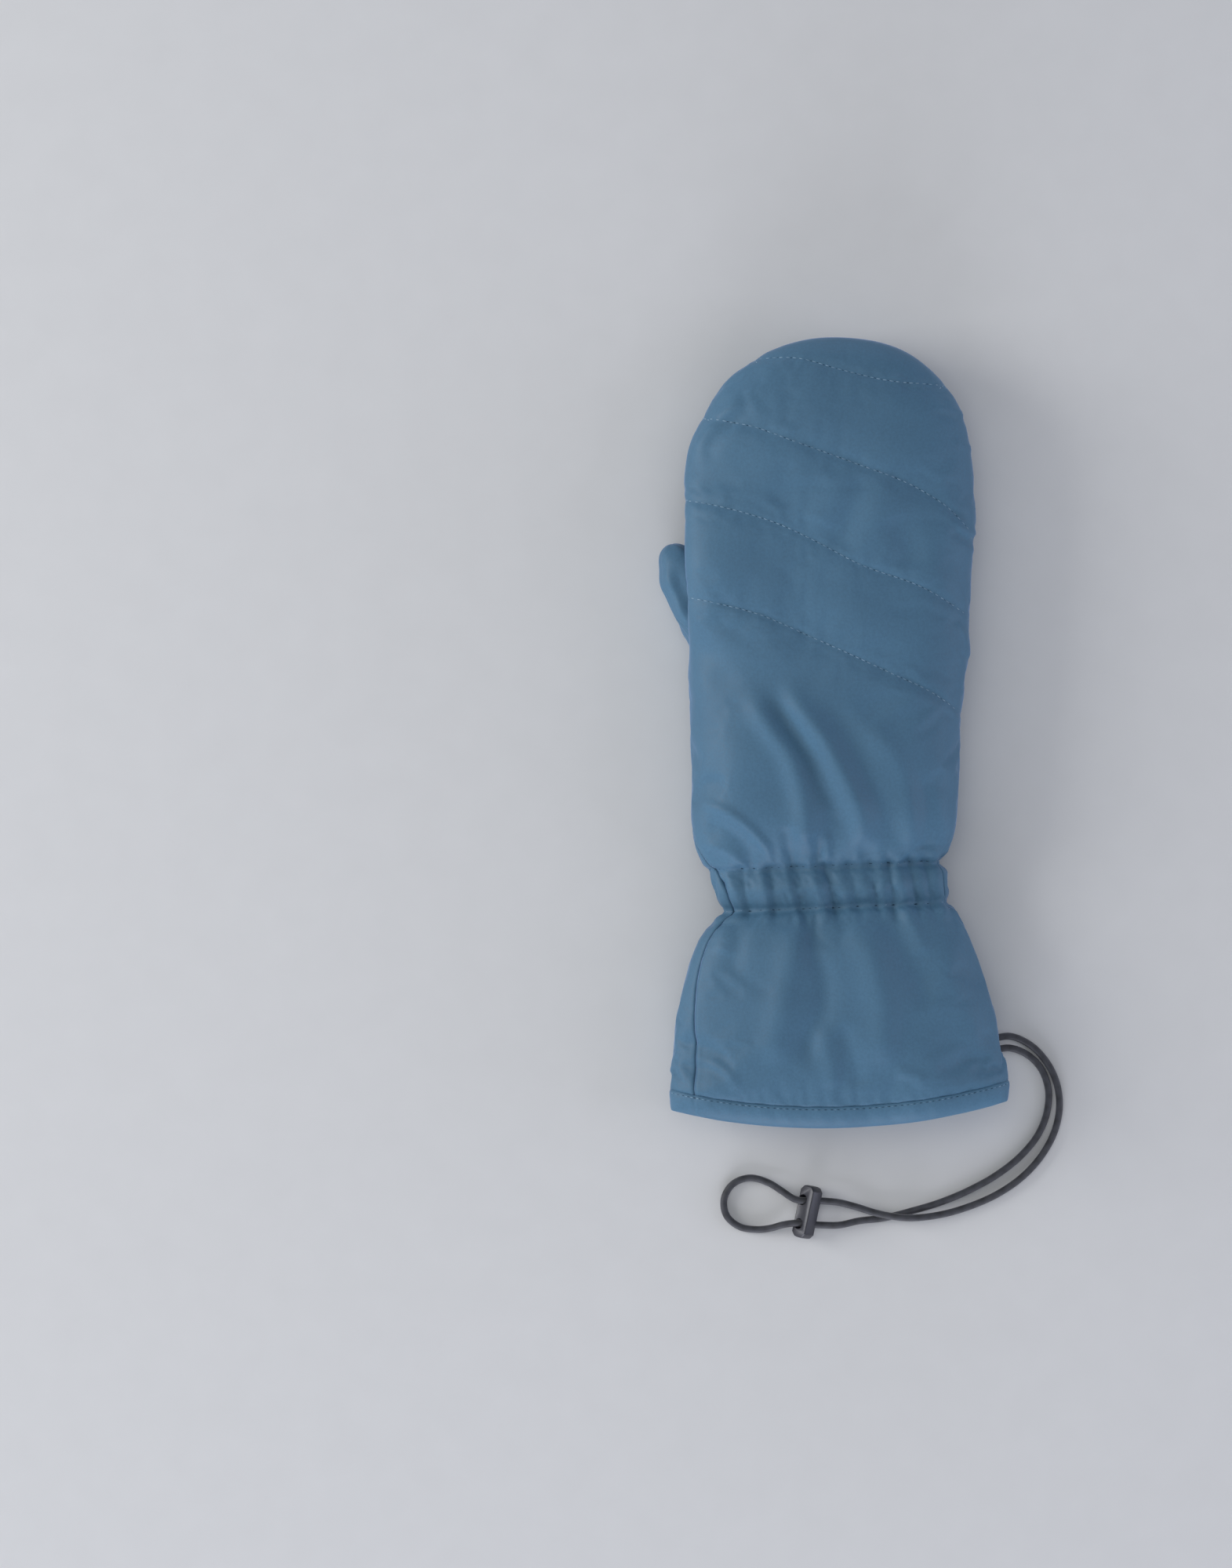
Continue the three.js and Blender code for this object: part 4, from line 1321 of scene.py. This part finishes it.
class MITTEN_OT_leash(bpy.types.Operator):
    """Leash cord and the tab that holds its ends"""

    bl_idname = "mitten.leash"
    bl_label = "Leash"

    def execute(self, context):
        colours = settings()[1]
        steps, sides = 420, 14
        path = curve_through(CORD_POINTS, steps)
        tangent = np.gradient(path, axis=0)
        tangent /= np.linalg.norm(tangent, axis=1, keepdims=True)
        side = np.cross(tangent, (0, 0, 1))
        side /= np.linalg.norm(side, axis=1, keepdims=True)
        up = np.cross(side, tangent)
        turn = np.linspace(0, 2 * math.pi, sides, endpoint=False)
        radius = CORD_DIAMETER / 2
        grid = path[:, None, :] + radius * (
            np.cos(turn)[None, :, None] * side[:, None, :] + np.sin(turn)[None, :, None] * up[:, None, :]
        )
        faces = grid_faces(steps, sides, wrap_columns=True)
        faces += [tuple(range(sides))[::-1], tuple((steps - 1) * sides + k for k in range(sides))]
        along = np.r_[0, np.cumsum(np.linalg.norm(np.diff(path, axis=0), axis=1))]
        uvs = np.stack(np.broadcast_arrays(radius * np.abs(turn - math.pi)[None, :], along[:, None]), axis=2)
        cord = mesh_object("leash_cord_braid", grid.reshape(-1, 3), faces, uvs.reshape(-1, 2))
        close_pole(cord, recalculate=True)
        give(cord, leash_braid(colours))
        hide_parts("leash_cord")
        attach(cord, "cuff")
        lock = make_lock(colours)
        make_tab()
        return {"FINISHED"}


def edit(obj, kind="VERT"):
    """Puts one object alone into edit mode, to work on its points, edges or faces."""
    pick(obj)
    bpy.ops.object.mode_set(mode="EDIT")
    bpy.ops.mesh.select_mode(type=kind)


def select_in_edit(obj, kind, wanted):
    """Opens one object in edit mode with just the wanted edges or faces selected."""
    edit(obj, kind)
    bpy.ops.mesh.select_all(action="DESELECT")
    bm = bmesh.from_edit_mesh(obj.data)
    for part in bm.edges if kind == "EDGE" else bm.faces:
        part.select = wanted(part)
    bm.select_flush_mode()
    bmesh.update_edit_mesh(obj.data)


def settle(obj):
    """Moves an object's place, turn and scale into its mesh."""
    pick(obj)
    bpy.ops.object.transform_apply(location=True, rotation=True, scale=True)


def make_lock(colours):
    """Two-hole cord lock: a chamfered bar with rounded edges, stepped ends and two tilted holes."""
    bpy.ops.object.select_all(action="DESELECT")
    bpy.ops.mesh.primitive_cube_add(size=1, location=(0, 0, 0))
    lock = bpy.context.object
    lock.name = "cord_lock_bar"
    lock.scale = (LOCK_WIDTH * MM, LOCK_LENGTH * MM, LOCK_DEPTH * MM)
    settle(lock)
    select_in_edit(lock, "EDGE", lambda edge: edge_runs(edge, 2))
    bpy.ops.mesh.bevel(offset=LOCK_CHAMFER * MM, segments=1, affect="EDGES")
    bpy.ops.object.mode_set(mode="OBJECT")
    select_in_edit(lock, "FACE", lambda face: abs(face.normal.y) > 0.9)
    bpy.ops.mesh.inset(thickness=0.8 * MM)
    bpy.ops.transform.resize(value=(1, 1.03, 1), center_override=(0, 0, 0))
    bpy.ops.object.mode_set(mode="OBJECT")
    apply_modifier(lock, "BEVEL", width=0.45 * MM, segments=3, limit_method="ANGLE", angle_limit=0.5)
    turn = Matrix.Rotation(LOCK_TURN, 4, "Z") @ Matrix.Rotation(LOCK_ROLL - math.pi / 2, 4, "Y")
    lock.matrix_world = Matrix.Translation(Vector(LOCK_CENTRE) * MM) @ turn
    settle(lock)
    slide = Matrix.Rotation(SLIDE_TURN, 4, "Z")
    for side in (-1, 1):
        bpy.ops.object.select_all(action="DESELECT")
        bpy.ops.mesh.primitive_cylinder_add(vertices=32, radius=LOCK_HOLE_DIAMETER / 2 * MM, depth=30 * MM)
        drill = bpy.context.object
        offset = Matrix.Translation((0, side * LOCK_HOLE_SPACING / 2 * MM, 0))
        drill.matrix_world = (
            Matrix.Translation(Vector(LOCK_CENTRE) * MM)
            @ slide
            @ offset
            @ Matrix.Rotation(math.pi / 2 + LOCK_HOLE_TILT, 4, "Y")
        )
        settle(drill)
        apply_modifier(lock, "BOOLEAN", object=drill, operation="DIFFERENCE", solver="EXACT")
        bpy.data.objects.remove(drill)
    apply_modifier(lock, "BEVEL", width=0.2 * MM, segments=2, limit_method="ANGLE", angle_limit=0.7)
    lock.data.shade_smooth()
    lock.data.set_sharp_from_angle(angle=0.5)
    edit(lock)
    bpy.ops.mesh.select_all(action="SELECT")
    bpy.ops.mesh.normals_make_consistent(inside=False)
    bpy.ops.object.mode_set(mode="OBJECT")
    give(lock, lock_acetal(colours))
    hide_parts("cord_lock")
    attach(lock, "lock")
    return lock


def make_tab():
    """Strip of shell cloth folded round the cord's ends, with two bars of close stitches."""
    low, high = (Vector(corner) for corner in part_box("leash_anchor_tab"))
    high.x += TAB_FOLD * MM
    size, middle = high - low, (low + high) / 2
    bpy.ops.object.select_all(action="DESELECT")
    bpy.ops.mesh.primitive_cube_add(size=1, location=middle)
    tab = bpy.context.object
    tab.name = "leash_tab"
    tab.scale = size
    settle(tab)
    # The fold is round, and the cut edges show the two layers with a slit between them.
    select_in_edit(
        tab, "EDGE", lambda edge: edge_runs(edge, 1) and all(v.co.x > middle.x for v in edge.verts)
    )
    bpy.ops.mesh.bevel(offset=size.z * 0.46, segments=6, affect="EDGES")
    bpy.ops.object.mode_set(mode="OBJECT")
    select_in_edit(tab, "FACE", lambda face: abs(face.normal.y) > 0.9)
    bpy.ops.mesh.inset(thickness=0.8 * MM)
    bpy.ops.mesh.extrude_region_move()
    bpy.ops.transform.resize(value=(0.98, 0.86, 0.5), center_override=middle)
    bpy.ops.object.mode_set(mode="OBJECT")
    apply_modifier(tab, "BEVEL", width=0.25 * MM, segments=2, limit_method="ANGLE", angle_limit=0.7)
    edit(tab)
    bpy.ops.mesh.select_all(action="SELECT")
    bpy.ops.uv.cube_project(cube_size=1, correct_aspect=False, scale_to_bounds=False)
    bpy.ops.mesh.normals_make_consistent(inside=False)
    bpy.ops.object.mode_set(mode="OBJECT")
    tab.data.uv_layers[0].name = "cloth"
    tab.data.shade_smooth()
    tab.data.set_sharp_from_angle(angle=0.7)
    give(tab, shell_material())
    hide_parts("leash_anchor_tab")
    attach(tab, "cuff")
    bar = []
    for x in (high.x / MM - 3.2, high.x / MM - 6.4):
        for y in np.arange(low.y / MM + 1, high.y / MM - 0.8, BAR_PITCH):
            for z, up in ((low.z / MM, -1), (high.z / MM, 1)):
                bar.append((np.array((x, y, z)), np.array((1, 0.2, 0)), np.array((0, 0, up))))
    stitches = stitch_mesh("leash_tab_stitches", bar, BAR_WIDTH, STITCH_WIDTH)
    give(stitches, thread_material())
    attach(stitches, "cuff")
    return tab


def edge_runs(edge, axis):
    """Whether an edge runs along one axis."""
    return abs((edge.verts[0].co - edge.verts[1].co).normalized()[axis]) > 0.9


class MITTEN_PT_sidebar(bpy.types.Panel):
    """Lists the mitten's operators"""

    bl_idname = "MITTEN_PT_sidebar"
    bl_label = "Ski mitten"
    bl_space_type = "VIEW_3D"
    bl_region_type = "UI"
    bl_category = "Mitten"

    def draw(self, context):
        for group in (context.scene.mitten_sizes, context.scene.mitten_colours):
            for key in group.bl_rna.properties.keys():
                if key not in {"rna_type", "name"}:
                    self.layout.prop(group, key)
        for operator in OPERATORS:
            self.layout.operator(operator.bl_idname)


OPERATORS = (
    MITTEN_OT_stage,
    MITTEN_OT_leash,
    MITTEN_OT_panels,
    MITTEN_OT_thumb,
    MITTEN_OT_hem,
    MITTEN_OT_lining,
    MITTEN_OT_stitching,
    MITTEN_OT_label,
)
CLASSES = (MittenColours, MittenSizes, *OPERATORS, MITTEN_PT_sidebar)


def register():
    """Adds the add-on's classes and settings."""
    for cls in CLASSES:
        bpy.utils.register_class(cls)
    bpy.types.Scene.mitten_colours = bpy.props.PointerProperty(type=MittenColours)
    bpy.types.Scene.mitten_sizes = bpy.props.PointerProperty(type=MittenSizes)


def unregister():
    """Takes them away again."""
    del bpy.types.Scene.mitten_sizes
    del bpy.types.Scene.mitten_colours
    for cls in reversed(CLASSES):
        bpy.utils.unregister_class(cls)


def main():
    """Runs every operator."""
    register()
    for operator in OPERATORS:
        group, name = operator.bl_idname.split(".")
        getattr(getattr(bpy.ops, group), name)()


if __name__ == "__main__":
    main()
